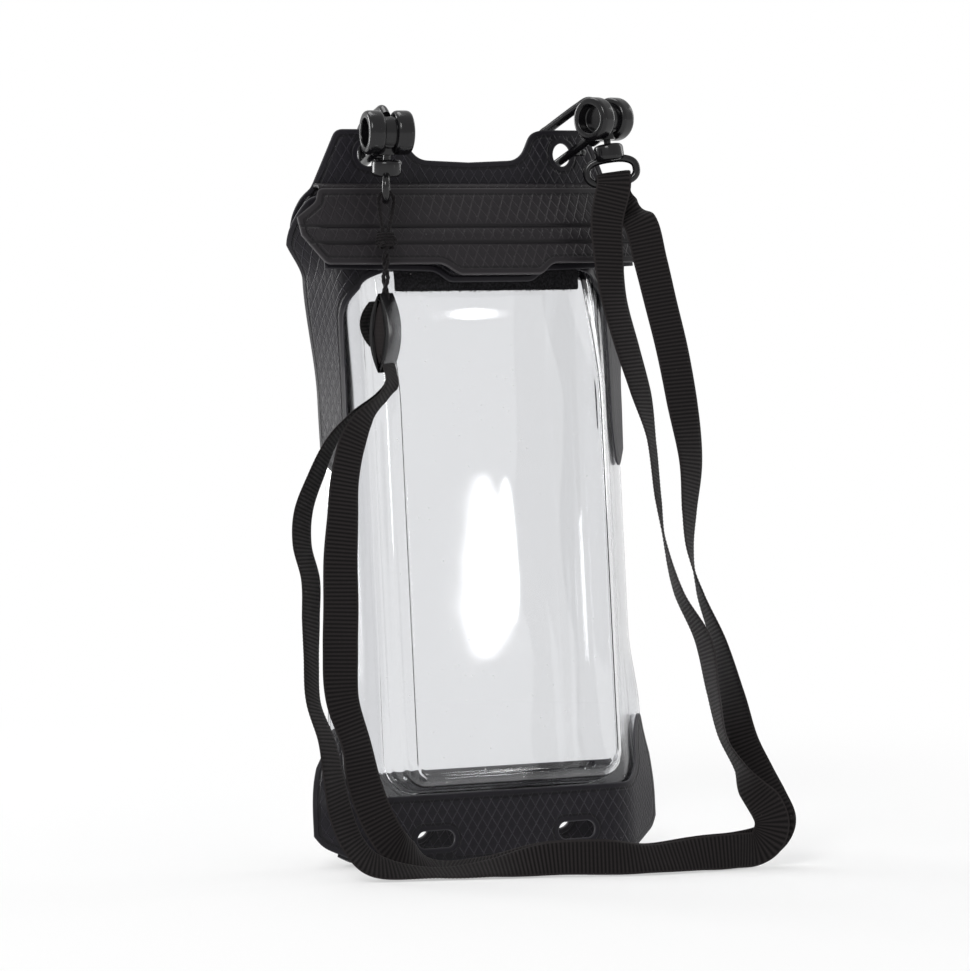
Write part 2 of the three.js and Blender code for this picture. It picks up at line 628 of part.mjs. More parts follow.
// A wire bent to a rounded oval in the XZ plane: a torus whose ring is drawn out sideways.
function ringWire() {
  const around = 32;
  const sides = 8;
  const radius = 10;
  const wire = new THREE.TorusGeometry(radius, RING_WIRE_RADIUS, sides, around);
  const at = wire.attributes.position;
  const squareness = 0.78;
  const oval = (a) => {
    const power = (c) => Math.sign(c) * Math.abs(c) ** squareness;
    return new THREE.Vector2(RING_HALF_WIDTH * power(Math.cos(a)), RING_HALF_HEIGHT * power(Math.sin(a)));
  };
  for (let i = 0; i < at.count; i++) {
    const a = Math.atan2(at.getY(i), at.getX(i));
    const out = Math.hypot(at.getX(i), at.getY(i)) - radius;
    const normal = new THREE.Vector2(Math.cos(a) / RING_HALF_WIDTH, Math.sin(a) / RING_HALF_HEIGHT);
    const p = oval(a).addScaledVector(normal.normalize(), out);
    at.setXYZ(i, p.x, at.getZ(i), p.y - RING_DROP);
  }
  wire.index.array.reverse();
  return wire;
}

// The lanyard's routes, from the lanyard's own origin. Each point of a ribbon has x, y, z, the heading
// of the ribbon's width in plan and how far that width rises, both in degrees.
const LANYARD_ORIGIN = [0.084, 14.543, FLOOR_TRIM];
const ROUTED_MOUTH = 188; // the mouth's height for which the routes are drawn
const FOLLOWS_ABOVE = 130; // above this the lanyard keeps its place by the snaps, below it stretches
const FRONT_STRAND = [
  [-37.5, -16, 136, 42, 0],
  [-40, -14.5, 132.5, 42, 0],
  [-46.5, -11.5, 127, 42, 0],
  [-52, -9.5, 120.5, 40, 0],
  [-57.5, -9, 110, 33, 0],
  [-61.5, -9, 100, 30, 0],
  [-63, -11, 91, 30, 0],
  [-62, -14, 81.5, 30, 0],
  [-63, -16, 70.5, 32, 0],
  [-64.5, -19, 60, 38, 0],
  [-66.5, -24, 48.5, 40, 0],
  [-65, -29, 38, 34, 0],
  [-64.5, -32, 28, 26, 0],
  [-62.5, -32.5, 18, 20, 4],
  [-60, -35, 10, 24, 12],
  [-55.4, -37.1, 4.7, 34, 24],
  [-36.5, -42, 1.6, 66, 10],
  [-23.4, -46.6, 2.5, 70, 22],
  [-8.2, -53.3, 4.9, 70, 62],
  [4.5, -59, 5.1, 70, 72],
  [19.6, -62.4, 4.2, 80, 46],
  [33.1, -64.7, 4.9, 88, 62],
  [43.8, -66.5, 5.3, 120, 86],
  [52.1, -65.2, 5.5, 150, 86],
  [55, -66, 8, 150, 50],
  [56, -66.5, 12.5, 150, 15],
  [55, -65, 17, 148, 0],
  [51.5, -63, 22, 120, 0],
  [49, -61, 27.5, 84, 0],
  [46, -57, 35.5, 73, 0],
  [45, -53, 48.5, 80, 0],
  [44, -49.5, 62.5, 89, 0],
  [39.5, -43.5, 76, 76, 0],
  [37.5, -39.5, 89.5, 62, 0],
  [37, -36.5, 102, 49, 0],
  [37.5, -32, 118.5, 45, 0],
  [36.5, -28, 131.5, 22, 0],
  [34.5, -23.5, 145, 13, 0],
  [33, -19, 158, 10, 0],
  [33, -16, 169.5, 0, 0],
  [34, -13.5, 180.5, -12, 0],
  [36.2, -13.6, 190.4, -30, 8],
  [36.6, -12.8, 192.9, -30, 8],
  [37.7, -10.9, 193.8, -30, 8],
  [38.8, -9, 192.9, -30, 8],
  [39.3, -8.2, 190.7, -30, 8],
];
const REAR_STRAND = [
  [-38.5, -18.5, 136, 42, 0],
  [-41, -18, 132, 40, 0],
  [-46, -16.5, 126.5, 24, 0],
  [-49.5, -15.5, 119.5, 10, 0],
  [-52, -15.5, 109, 8, 0],
  [-53.5, -17, 98.5, 0, 0],
  [-55, -18.5, 87, -14, 0],
  [-56, -20.5, 74.5, -24, 0],
  [-57, -22, 62.5, -28, 0],
  [-57.5, -24, 49, -8, 0],
  [-54.5, -26.5, 36.5, 4, 0],
  [-53, -28, 26.5, -10, 6],
  [-51, -31.5, 17, -16, 22],
  [-47, -33.5, 9.5, -4, 34],
  [-40.9, -33, 5.7, 32, 26],
  [-31.3, -31.7, 2.1, 64, 10],
  [-21.4, -41.1, 2.7, 70, 22],
  [-7.3, -51, 4.9, 70, 62],
  [5.3, -56.9, 5.1, 70, 72],
  [20.1, -59.4, 4.2, 80, 46],
  [33.2, -62.2, 4.9, 88, 62],
  [44.8, -63.7, 5.3, 120, 86],
  [55.7, -62.9, 6.8, 150, 64],
  [58.5, -64, 9.5, 150, 36],
  [59.5, -64.5, 13, 150, 8],
  [58, -62.5, 18.5, 146, 0],
  [56, -58.5, 25.5, 142, 0],
  [53.5, -54.5, 34.5, 130, 0],
  [52.5, -50.5, 48, 104, 0],
  [50.5, -46.5, 62.5, 87, 0],
  [47.5, -42, 75.5, 70, 0],
  [46, -39, 88, 47, 0],
  [47, -37, 98.5, 33, 0],
  [49, -34.5, 112.5, 16, 0],
  [48.5, -30.5, 129.5, -6, 0],
  [48, -26, 144, -12, 0],
  [47, -21.5, 157, -15, 0],
  [46, -17.5, 169, -22, 0],
  [44.5, -14, 180, -28, 0],
  [42.6, -9.2, 183, -30, 0],
  [39.8, -8.4, 186.7, -30, 3],
  [39.3, -8.2, 189.1, -30, 8],
];
const CORD = [
  [-39.1, -13.5, 161.9],
  [-38.8, -13, 166],
  [-38.1, -11.8, 172],
  [-37.3, -10.5, 177.4],
  [-37.1, -8.9, 182.1],
  [-37.2, -8.1, 186.1],
  [-36.7, -8.2, 187.8],
  [-35.3, -9.1, 188.5],
  [-33.9, -9.8, 187.8],
  [-33.4, -10.2, 186.1],
  [-34.3, -10.6, 182.1],
  [-35.6, -11.4, 177.4],
  [-36.4, -12.7, 172],
  [-37.1, -13.9, 166],
  [-37.4, -14.4, 161.9],
];
const STEPS_BETWEEN_POINTS = 2;
const CORD_STEPS = 30;

// A point of the lanyard, moved with the snaps where the mouth has another height.
function byMouth([x, y, z]) {
  const rise = (MOUTH_HEIGHT - ROUTED_MOUTH) * Math.min(z / FOLLOWS_ABOVE, 1);
  return new THREE.Vector3(x, y + leanAt(rise), z + rise);
}

// A ribbon of oblong section along a route of points and width headings.
function ribbon(route) {
  const path = new THREE.CatmullRomCurve3(route.map(byMouth));
  const asPoint = ([, , , turn, rise]) => new THREE.Vector3(turn, rise, 0);
  const headings = new THREE.CatmullRomCurve3(route.map(asPoint));
  const steps = (route.length - 1) * STEPS_BETWEEN_POINTS;
  const corners = [[-1, -1], [-1, 1], [1, 1], [1, -1]];
  const points = evenly(steps).flatMap((t) => {
    const heading = headings.getPoint(t);
    const [turn, rise] = [degToRad(heading.x), degToRad(heading.y)];
    const along = path.getTangent(t);
    const width = new THREE.Vector3(Math.cos(turn), Math.sin(turn), Math.tan(rise));
    width.addScaledVector(along, -width.dot(along)).normalize();
    const face = along.cross(width);
    const at = (w, f) => path.getPoint(t).addScaledVector(width, w).addScaledVector(face, f);
    return corners.map(([w, f]) => at((w * RIBBON_WIDTH) / 2, (f * RIBBON_THICKNESS) / 2));
  });
  const faces = [[0, 1, 2], [0, 2, 3]];
  for (let ring = 0; ring < steps; ring++)
    for (let side = 0; side < corners.length; side++) {
      const [a, b] = [side, (side + 1) % corners.length].map((corner) => ring * corners.length + corner);
      faces.push([a, a + 4, b + 4], [a, b + 4, b]);
    }
  const end = steps * corners.length;
  faces.push([end, end + 2, end + 1], [end, end + 3, end + 2]);
  return indexed(points.flatMap((p) => p.toArray()), faces.flat());
}

function lanyardCord() {
  const section = new THREE.Shape().absarc(0, 0, CORD_RADIUS, 0, 2 * Math.PI, false);
  const extrudePath = new THREE.CatmullRomCurve3(CORD.map(byMouth));
  return new THREE.ExtrudeGeometry(section, { extrudePath, steps: CORD_STEPS, curveSegments: 4 });
}

// The ribbon clamp in its own frame: X across its plates, Y along the ribbon's width, Z up.
const lens = (proud, height) => new THREE.QuadraticBezierCurve(
  new THREE.Vector2(0, -height / 2),
  new THREE.Vector2(2 * proud, 0),
  new THREE.Vector2(0, height / 2),
).getPoints(8);

// A shape drawn across the clamp, made as wide as asked along the ribbon's width.
function acrossClamp(points, width) {
  const solid = new THREE.ExtrudeGeometry(new THREE.Shape(points), { depth: width, bevelEnabled: false });
  return solid.translate(0, 0, -width / 2).rotateX(Math.PI / 2);
}

// A curved plate of the clamp, bulging to +X.
function clampPlate() {
  const outer = lens(CLAMP_HALF_DEPTH, CLAMP_HEIGHT);
  const inner = lens(CLAMP_HALF_DEPTH - CLAMP_WALL, CLAMP_HEIGHT - 2 * CLAMP_WALL);
  const middle = CLAMP_GAP / 2;
  const shape = [...outer, ...inner.reverse()].map((p) => new THREE.Vector2(p.x + middle, p.y));
  return acrossClamp(shape, CLAMP_WIDTH);
}

// The ribbon's two sewn ends, pressed between the plates.
function ribbonEnds() {
  const proud = CLAMP_HALF_DEPTH - CLAMP_WALL - GAP + CLAMP_GAP / 2;
  const half = lens(proud, CLAMP_HEIGHT - 2 * CLAMP_WALL - ENDS_SHORT);
  const mirrored = half.map((p) => new THREE.Vector2(-p.x, p.y)).reverse().slice(1, -1);
  return acrossClamp([...half, ...mirrored], RIBBON_WIDTH);
}

// The sewn end's loop stands out beside the clamp as an arch of ribbon.
function endLoop() {
  const outer = lens(LOOP_HALF_DEPTH, LOOP_HEIGHT);
  const inner = lens(LOOP_HALF_DEPTH - RIBBON_THICKNESS, LOOP_HEIGHT - 2 * RIBBON_THICKNESS);
  const shape = [...outer, ...inner.reverse()].map((p) => new THREE.Vector2(-p.x, p.y));
  return acrossClamp(shape.reverse(), RIBBON_WIDTH).translate(-CLAMP_HALF_DEPTH - GAP, 0, LOOP_RISE);
}

// Materials
const black = new THREE.MeshStandardMaterial({ color: 0x26242a, roughness: 0.62, metalness: 0 });
const clear = new THREE.MeshStandardMaterial({
  color: 0xd8dadc,
  roughness: 0.08,
  metalness: 0,
  transparent: true,
  opacity: 0.35,
});
const fuzzy = new THREE.MeshStandardMaterial({ color: 0x121114, roughness: 0.95, metalness: 0 });
const webbing = new THREE.MeshStandardMaterial({ color: 0x1a1719, roughness: 0.85, metalness: 0 });
const glossy = new THREE.MeshStandardMaterial({ color: 0x141316, roughness: 0.25, metalness: 0 });

const steel = new THREE.MeshStandardMaterial({ color: 0x9a9ca0, roughness: 0.3, metalness: 1 });

const pouch = new THREE.Group();
function add(parent, name, geometry, material) {
  const mesh = new THREE.Mesh(geometry, material.clone());
  mesh.name = name;
  parent.add(mesh);
  return mesh;
}

add(pouch, "front_band", band(BAND_HEIGHT, frameSurface, FRONT_SHEET), black);
add(pouch, "rear_band", band(BAND_HEIGHT + 6, rearFrameSurface, -REAR_SHEET), black);
add(pouch, "front_panel", frontPanel(), black);
add(pouch, "rear_panel", rearPanel(), black);

// The films' grid lines crowd at the pocket's walls and corners, and where the sheet turns.
const windowHalf = HALF_WIDTH - EDGE_STEP;
const wallTop = POCKET_HALF_WIDTH - POCKET_WALL;
const bothWays = (half) => [...half.slice(1).map((u) => -u).reverse(), ...half];
const SLOPED_ABOVE = MOUTH_HEIGHT - 36; // the films' rows follow the mouth's edge above this
const up = lines([
  [FILM_FOOT, 0],
  [POCKET_BOTTOM, 2],
  [POCKET_BOTTOM + POCKET_WALL, 3],
  [POCKET_BOTTOM + POCKET_CORNER, 1],
  [42, 2],
  [62, 2],
  [MOUTH_HEIGHT - 58, 1],
  [SLOPED_ABOVE, 2],
  [MOUTH_HEIGHT - EDGE_STEP, 7],
]);
const pocketLines = lines([
  [0, 0],
  [wallTop - 7, 1],
  [wallTop, 2],
  [POCKET_HALF_WIDTH, 3],
  [44, 2],
  [EAR_HALF_WIDTH, 1],
  [windowHalf, 2],
]);
const rearLines = lines([[0, 0], [LEVEL_HALF_WIDTH, 1], [SEAM_START, 6], [windowHalf, 3]]);
const filmTop = mouthEdge(MOUTH_HEIGHT - EDGE_STEP, windowHalf);
const filmHeight = (u, v) => {
  const share = Math.max(v - SLOPED_ABOVE, 0) / (MOUTH_HEIGHT - EDGE_STEP - SLOPED_ABOVE);
  return share ? lerp(SLOPED_ABOVE, heightOn(filmTop, Math.abs(u)), share) : v;
};
const film = (half, surface, n) => gridSheet(bothWays(half), up, filmHeight, FILM, surface, n);
add(pouch, "front_window", film(pocketLines, frontSurface, FRONT_FILM), clear);
add(pouch, "rear_window", film(rearLines, rearFilmSurface, -FRONT_FILM), clear);

add(pouch, "closure_flap", closureFlap(), black);
add(pouch, "inner_lip", innerLip(), black);
const behind = (sheetThickness, thickness) => -(sheetThickness + thickness) / 2 - GAP;
add(
  pouch,
  "hook_strip",
  strip(STRIP_HALF_WIDTH, ...HOOK_STRIP, FASTENER, flapSurface, behind(SHEET, FASTENER)),
  fuzzy,
);
add(
  pouch,
  "loop_strip",
  strip(LOOP_STRIP_HALF_WIDTH, ...LOOP_STRIP, FASTENER, lipSurface, behind(SHEET, FASTENER)),
  fuzzy,
);

// Each bolt snap hangs with its bolt through an ear's hole. yaw turns the snap, pitch lifts its lobes
// and ringYaw turns its ring.
const SNAPS = [
  { name: "left", side: -1, yaw: degToRad(-12), pitch: degToRad(3), ringYaw: degToRad(60) },
  { name: "right", side: 1, yaw: degToRad(18), pitch: degToRad(-11), ringYaw: degToRad(-30) },
];
for (const { name, side, yaw, pitch, ringYaw } of SNAPS) {
  const seat = HOLE_CENTRE[1] - (HOLE_RADIUS - BOLT_RADIUS - SEAT_GAP); // the bolt rests low in the hole
  const hole = offsetFrom(rearFilmSurface, side * HOLE_CENTRE[0], seat, -REAR_SHEET);
  const snap = new THREE.Group();
  snap.rotation.set(pitch, 0, yaw, "ZXY");
  snap.position.copy(hole).sub(onArm(ALONG, 0).applyEuler(snap.rotation));
  pouch.add(snap);
  add(snap, name + "_snap_body", clipBody(), glossy);
  add(snap, name + "_snap_bolt", clipBolt(), glossy);
  add(snap, name + "_snap_spring", boltSpring(), steel);
  const ring = add(snap, name + "_swivel_ring", swivelRing(), glossy);
  ring.position.z = COLLAR_TOP;
  ring.rotation.z = ringYaw - yaw;
}

// The origin is in the middle of the foot, without the lanyard.
const reach = new THREE.Box3().setFromObject(pouch, true);
const middle = reach.getCenter(new THREE.Vector3());
pouch.position.set(-middle.x, -middle.y, -FLOOR_TRIM);

const part = new THREE.Group();
part.add(pouch);

const lanyard = new THREE.Group();
lanyard.position.set(...LANYARD_ORIGIN);
pouch.add(lanyard);
const clamp = new THREE.Group();
clamp.position.copy(byMouth(CLAMP_PLACE));
clamp.rotation.z = CLAMP_HEADING - Math.PI / 2;
add(clamp, "clamp_right_plate", clampPlate(), glossy);
add(clamp, "clamp_left_plate", clampPlate().rotateZ(Math.PI), glossy);
add(clamp, "ribbon_ends", ribbonEnds(), webbing);
add(clamp, "ribbon_end_loop", endLoop(), webbing);
lanyard.add(clamp);
add(lanyard, "ribbon_front_strand", ribbon(FRONT_STRAND), webbing);
add(lanyard, "ribbon_rear_strand", ribbon(REAR_STRAND), webbing);
add(lanyard, "lanyard_cord", lanyardCord(), webbing);

export default part;
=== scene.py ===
import math

import bmesh
import bpy
import numpy as np
from mathutils import Matrix, Vector
from mathutils.geometry import delaunay_2d_cdt


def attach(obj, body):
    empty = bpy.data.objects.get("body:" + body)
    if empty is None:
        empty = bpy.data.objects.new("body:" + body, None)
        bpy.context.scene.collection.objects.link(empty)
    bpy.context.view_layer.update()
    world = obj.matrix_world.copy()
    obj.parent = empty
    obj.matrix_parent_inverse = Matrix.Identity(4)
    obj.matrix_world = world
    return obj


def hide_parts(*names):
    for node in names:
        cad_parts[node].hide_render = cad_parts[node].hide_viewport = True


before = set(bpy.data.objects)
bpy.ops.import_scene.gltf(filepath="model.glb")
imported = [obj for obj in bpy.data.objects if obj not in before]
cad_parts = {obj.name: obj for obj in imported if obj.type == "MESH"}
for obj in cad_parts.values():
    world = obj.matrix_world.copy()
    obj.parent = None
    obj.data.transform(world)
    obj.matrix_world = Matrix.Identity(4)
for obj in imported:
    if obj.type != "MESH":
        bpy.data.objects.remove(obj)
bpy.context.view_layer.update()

MM = 0.001  # a millimetre in metres

# Camera
CAMERA_PLACE = (-0.7538, -1.3086, 0.1896)
CAMERA_FORWARD = (0.49922, 0.86467, -0.05582)
CAMERA_LENS, CAMERA_SENSOR, CAMERA_CLIP = 197.6, 36, (0.05, 60)


def make_camera():
    data = bpy.data.cameras.new("camera")
    data.lens = CAMERA_LENS
    data.sensor_width = CAMERA_SENSOR
    data.sensor_fit = "HORIZONTAL"
    data.clip_start, data.clip_end = CAMERA_CLIP
    camera = bpy.data.objects.new("camera", data)
    camera.location = CAMERA_PLACE
    camera.rotation_euler = Vector(CAMERA_FORWARD).to_track_quat("-Z", "Y").to_euler()
    bpy.context.scene.collection.objects.link(camera)
    bpy.context.scene.camera = camera


make_camera()


# Number helpers
def smooth(x, low, high):
    """0 below low, 1 above high, and 3t^2 - 2t^3 between them."""
    t = np.clip((x - low) / (high - low), 0, 1)
    return t * t * (3 - 2 * t)


def bump(x, middle, width):
    """A bell of height 1 round the middle: exp(-((x - middle) / width)^2)."""
    return np.exp(-(((x - middle) / width) ** 2))


def unit(v):
    return v / np.linalg.norm(v, axis=-1, keepdims=True)


def stops(*pairs):
    """Numbers from stop to stop: each pair is a stop and how many steps lead to it."""
    runs = [np.array([pairs[0][0]], float)]
    for (a, _), (b, count) in zip(pairs, pairs[1:]):
        runs.append(np.linspace(a, b, count + 1)[1:])
    return np.concatenate(runs)


def both_ways(half):
    return np.concatenate((-half[:0:-1], half))


def through(points, per_span):
    """A centripetal Catmull-Rom curve through the points, with per_span samples on each span.

    A span is the cubic Hermite curve whose end slopes come from its neighbours, with knots spaced by the
    square root of the points' distance.
    """
    p = np.asarray(points, float)
    p = np.vstack((2 * p[0] - p[1], p, 2 * p[-1] - p[-2]))
    knots = np.maximum(np.linalg.norm(np.diff(p, axis=0), axis=1) ** 0.5, 1e-4)[:, None]
    a, b, c, d = p[:-3], p[1:-2], p[2:-1], p[3:]
    k0, k1, k2 = knots[:-2], knots[1:-1], knots[2:]
    m1 = ((b - a) / k0 - (c - a) / (k0 + k1) + (c - b) / k1) * k1
    m2 = ((c - b) / k1 - (d - b) / (k1 + k2) + (d - c) / k2) * k1
    t = np.linspace(0, 1, per_span, endpoint=False)[:, None, None]
    cubic = (2 * b - 2 * c + m1 + m2) * t**3 + (-3 * b + 3 * c - 2 * m1 - m2) * t**2 + m1 * t + b
    return np.vstack((cubic.transpose(1, 0, 2).reshape(-1, p.shape[1]), p[-2]))


def evenly_along(points, step, *others):
    """The points moved to even steps along their own line, and any other values carried along with them."""
    far = np.concatenate(([0], np.cumsum(np.linalg.norm(np.diff(points, axis=0), axis=1))))
    places = np.linspace(0, far[-1], max(int(round(far[-1] / step)), 2) + 1)
    carry = lambda values: np.stack([np.interp(places, far, column) for column in np.asarray(values).T], -1)
    return (carry(points), places, *(carry(other) for other in others))


# Mesh helpers
def grid_faces(rows, columns, close_rows=False, close_columns=False, start=0):
    """The quads of a grid of points that is numbered row by row."""
    row = np.arange(rows if close_rows else rows - 1)[:, None]
    column = np.arange(columns if close_columns else columns - 1)[None, :]
    next_row, next_column = (row + 1) % rows, (column + 1) % columns
    corners = (
        row * columns + column,
        row * columns + next_column,
        next_row * columns + next_column,
        next_row * columns + column,
    )
    return np.stack(np.broadcast_arrays(*corners), -1).reshape(-1, 4) + start


def add_piece(name, points, faces, material, body="root", slot=None, replaces=(), uv=None, sharp=35, edge=None):
    """A mesh object at the origin, from points in mm, lists of faces, and a uv pair for each point."""
    mesh = bpy.data.meshes.new(name)
    lists = [f.tolist() for f in ([faces] if isinstance(faces, np.ndarray) else faces)]
    mesh.from_pydata((np.asarray(points) * MM).tolist(), [], [face for group in lists for face in group])
    mesh.shade_smooth()
    mesh.set_sharp_from_angle(angle=math.radians(sharp))
    if uv is not None:
        corner = np.empty(len(mesh.loops), int)
        mesh.loops.foreach_get("vertex_index", corner)
        layer = mesh.uv_layers.new(name="UVMap")
        layer.data.foreach_set("uv", np.asarray(uv, np.float32)[corner].ravel())
    if edge is not None:
        attribute = mesh.attributes.new("edge", "FLOAT", "POINT")
        attribute.data.foreach_set("value", np.asarray(edge, np.float32))
    mesh.materials.append(material)
    piece = bpy.data.objects.new(name, mesh)
    bpy.context.scene.collection.objects.link(piece)
    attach(piece, body)
    if replaces:
        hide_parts(*([replaces] if isinstance(replaces, str) else replaces))
    return piece


class Shell:
    """Closed surfaces gathered into one piece: each is a grid of points with its uv."""

    def __init__(self):
        self.points, self.uv, self.faces, self.count = [], [], [], 0

    def add(self, points, faces, uv=None):
        points = np.asarray(points, float).reshape(-1, 3)
        self.points.append(points)
        self.uv.append(np.zeros((len(points), 2)) if uv is None else np.asarray(uv, float).reshape(-1, 2))
        groups = [faces] if isinstance(faces, np.ndarray) else faces
        self.faces += [group + self.count for group in groups]
        self.count += len(points)

    def tube(self, rings, uv=None):
        """Rings of points, one after another, closed round and capped with a fan at each end."""
        rings = np.asarray(rings, float)
        count, sides = rings.shape[:2]
        points = np.vstack((rings.reshape(-1, 3), rings[0].mean(0), rings[-1].mean(0)))
        first, last = count * sides, count * sides + 1
        side = np.arange(sides)
        after = (side + 1) % sides
        start = np.stack((np.full(sides, first), after, side), -1)
        offset = (count - 1) * sides
        end = np.stack((np.full(sides, last), offset + side, offset + after), -1)
        if uv is not None:
            uv = np.vstack((np.asarray(uv).reshape(-1, 2), uv[0].mean(0), uv[-1].mean(0)))
        self.add(points, [grid_faces(count, sides, close_columns=True), start, end], uv)

    def turned(self, corners, radii, sides, place=lambda p: p):
        """Corners of (radius, height), rounded and turned round the Z axis; the ends lie on the axis."""
        profile = rounded(corners, radii, LATHE_STEPS)
        angle = np.linspace(0, 2 * math.pi, sides, endpoint=False)
        radius, height = profile[:, :1], profile[:, 1:]
        ring = (radius * np.cos(angle), radius * np.sin(angle), height + 0 * angle)
        self.tube(place(np.stack(ring, -1)[1:-1]))

    def piece(self, name, material, place=None, **how):
        points = np.vstack(self.points)
        if place is not None:
            points = place(points)
        return add_piece(name, points, self.faces, material, uv=np.vstack(self.uv), **how)


LATHE_STEPS = 6  # steps round each corner of a turned profile


def rounded(corners, radii, steps=5):
    """A line through the corners, each rounded by a quadratic curve that starts its radius away."""
    corners = np.asarray(corners, float)
    radii = np.broadcast_to(radii, len(corners))
    runs = [corners[:1]]
    for before, here, after, radius in zip(corners, corners[1:], corners[2:], radii[1:]):
        ends = [
            here + (other - here) * min(radius / max(np.linalg.norm(other - here), 1e-9), 0.48)
            for other in (before, after)
        ]
        t = np.linspace(0, 1, steps + 1)[:, None]
        runs.append(ends[0] * (1 - t) ** 2 + here * 2 * t * (1 - t) + ends[1] * t**2)
    return np.vstack((*runs, corners[-1:]))


def tube_piece(name, rings, uv, material, place=None, **how):
    """A piece that is one capped tube."""
    shell = Shell()
    shell.tube(rings, uv)
    return shell.piece(name, material, place, **how)


# Frames carried along a line
def circle(sides):
    angle = np.linspace(0, 2 * math.pi, sides, endpoint=False)
    return np.stack((np.cos(angle), np.sin(angle)), -1)


def frames_along(path, hint):
    """Unit tangent, and two unit vectors square to it: the hint made square, and their cross product."""
    tangent = unit(np.gradient(path, axis=0))
    side = np.broadcast_to(np.asarray(hint, float), path.shape)
    side = unit(side - (side * tangent).sum(-1, keepdims=True) * tangent)
    return tangent, side, np.cross(tangent, side)


def swept(path, section, hint):
    """Rings of a section of (side, up) pairs, one for the whole path or one for each of its points."""
    _, side, up = frames_along(path, hint)
    section = np.broadcast_to(section, (len(path), *np.shape(section)[-2:]))
    return path[:, None] + section[..., :1] * side[:, None] + section[..., 1:] * up[:, None]


# Shader helpers
def node(tree, kind, *inputs, **settings):
    """A shader node with its inputs in order: a value, an output to link, or None to leave it."""
    new = tree.nodes.new("ShaderNode" + kind)
    for key, value in settings.items():
        setattr(new, key, value)
    for socket, value in zip(new.inputs, inputs):
        connect(tree, value, socket)
    return new


def connect(tree, value, socket):
    if isinstance(value, bpy.types.NodeSocket):
        tree.links.new(value, socket)
    elif value is not None:
        socket.default_value = value


def calc(tree, operation, *inputs):
    return node(tree, "Math", *inputs, operation=operation).outputs[0]


def times(tree, a, b):
    return calc(tree, "MULTIPLY", a, b)


def fused(tree, value, factor, offset):
    """The value times the factor, plus the offset."""
    return calc(tree, "MULTIPLY_ADD", value, factor, offset)


def spread(tree, value, low, high, to_low=0.0, to_high=1.0):
    """A smooth step from to_low at low to to_high at high."""
    inputs = (value, low, high, to_low, to_high)
    return node(tree, "MapRange", *inputs, interpolation_type="SMOOTHSTEP").outputs[0]


def mixed(tree, factor, a, b):
    """A colour between two colours."""
    new = tree.nodes.new("ShaderNodeMix")
    new.data_type = "RGBA"
    for name, value in (("Factor_Float", factor), ("A_Color", a), ("B_Color", b)):
        connect(tree, value, next(s for s in new.inputs if s.identifier == name))
    return next(s for s in new.outputs if s.identifier == "Result_Color")


def laid(tree, colour, mask, share, other):
    """A colour with another laid over it: the share is how much of that one shows where the mask is 1."""
    return mixed(tree, times(tree, mask, share), colour, other)


def noise(tree, vector, scale, detail=3.0, roughness=0.5):
    new = tree.nodes.new("ShaderNodeTexNoise")
    for name, value in (("Vector", vector), ("Scale", scale), ("Detail", detail), ("Roughness", roughness)):
        connect(tree, value, new.inputs[name])
    return new.outputs["Fac"]


def new_group(name, inputs, outputs):
    """A node group with named float or vector inputs and float outputs, and its two end nodes."""
    group = bpy.data.node_groups.new(name, "ShaderNodeTree")
    for label, value in inputs.items():
        kind = "NodeSocketVector" if value is None else "NodeSocketFloat"
        socket = group.interface.new_socket(label, in_out="INPUT", socket_type=kind)
        if value is not None:
            socket.default_value = value
    for label in outputs:
        group.interface.new_socket(label, in_out="OUTPUT", socket_type="NodeSocketFloat")
    return group, group.nodes.new("NodeGroupInput").outputs, group.nodes.new("NodeGroupOutput").inputs


def placed(tree, group, **inputs):
    new = tree.nodes.new("ShaderNodeGroup")
    new.node_tree = group
    for name, value in inputs.items():
        connect(tree, value, new.inputs[name.replace("_", " ")])
    return new.outputs


def emboss_group():
    """Diamonds pressed into sheet: raised lines along both diagonals, with a low pillow in each diamond."""
    group, given, out = new_group(
        "diamond_emboss", {"Vector": None, "Across": 3.2, "Along": 4.9, "Line": 0.09}, ("Line", "Height")
    )
    axes = node(group, "SeparateXYZ", given["Vector"]).outputs
    across = calc(group, "DIVIDE", axes[0], given["Across"])
    along = calc(group, "DIVIDE", axes[1], given["Along"])
    falling, rising = calc(group, "ADD", across, along), calc(group, "SUBTRACT", across, along)
    nearest = calc(group, "MINIMUM", *(calc(group, "PINGPONG", d, 0.5) for d in (falling, rising)))
    line = spread(group, nearest, 0.02, given["Line"], 1.0, 0.0)
    pillow = spread(group, nearest, 0.05, 0.5, 0.0, 0.35)
    connect(group, line, out["Line"])
    connect(group, calc(group, "ADD", line, pillow), out["Height"])
    return group


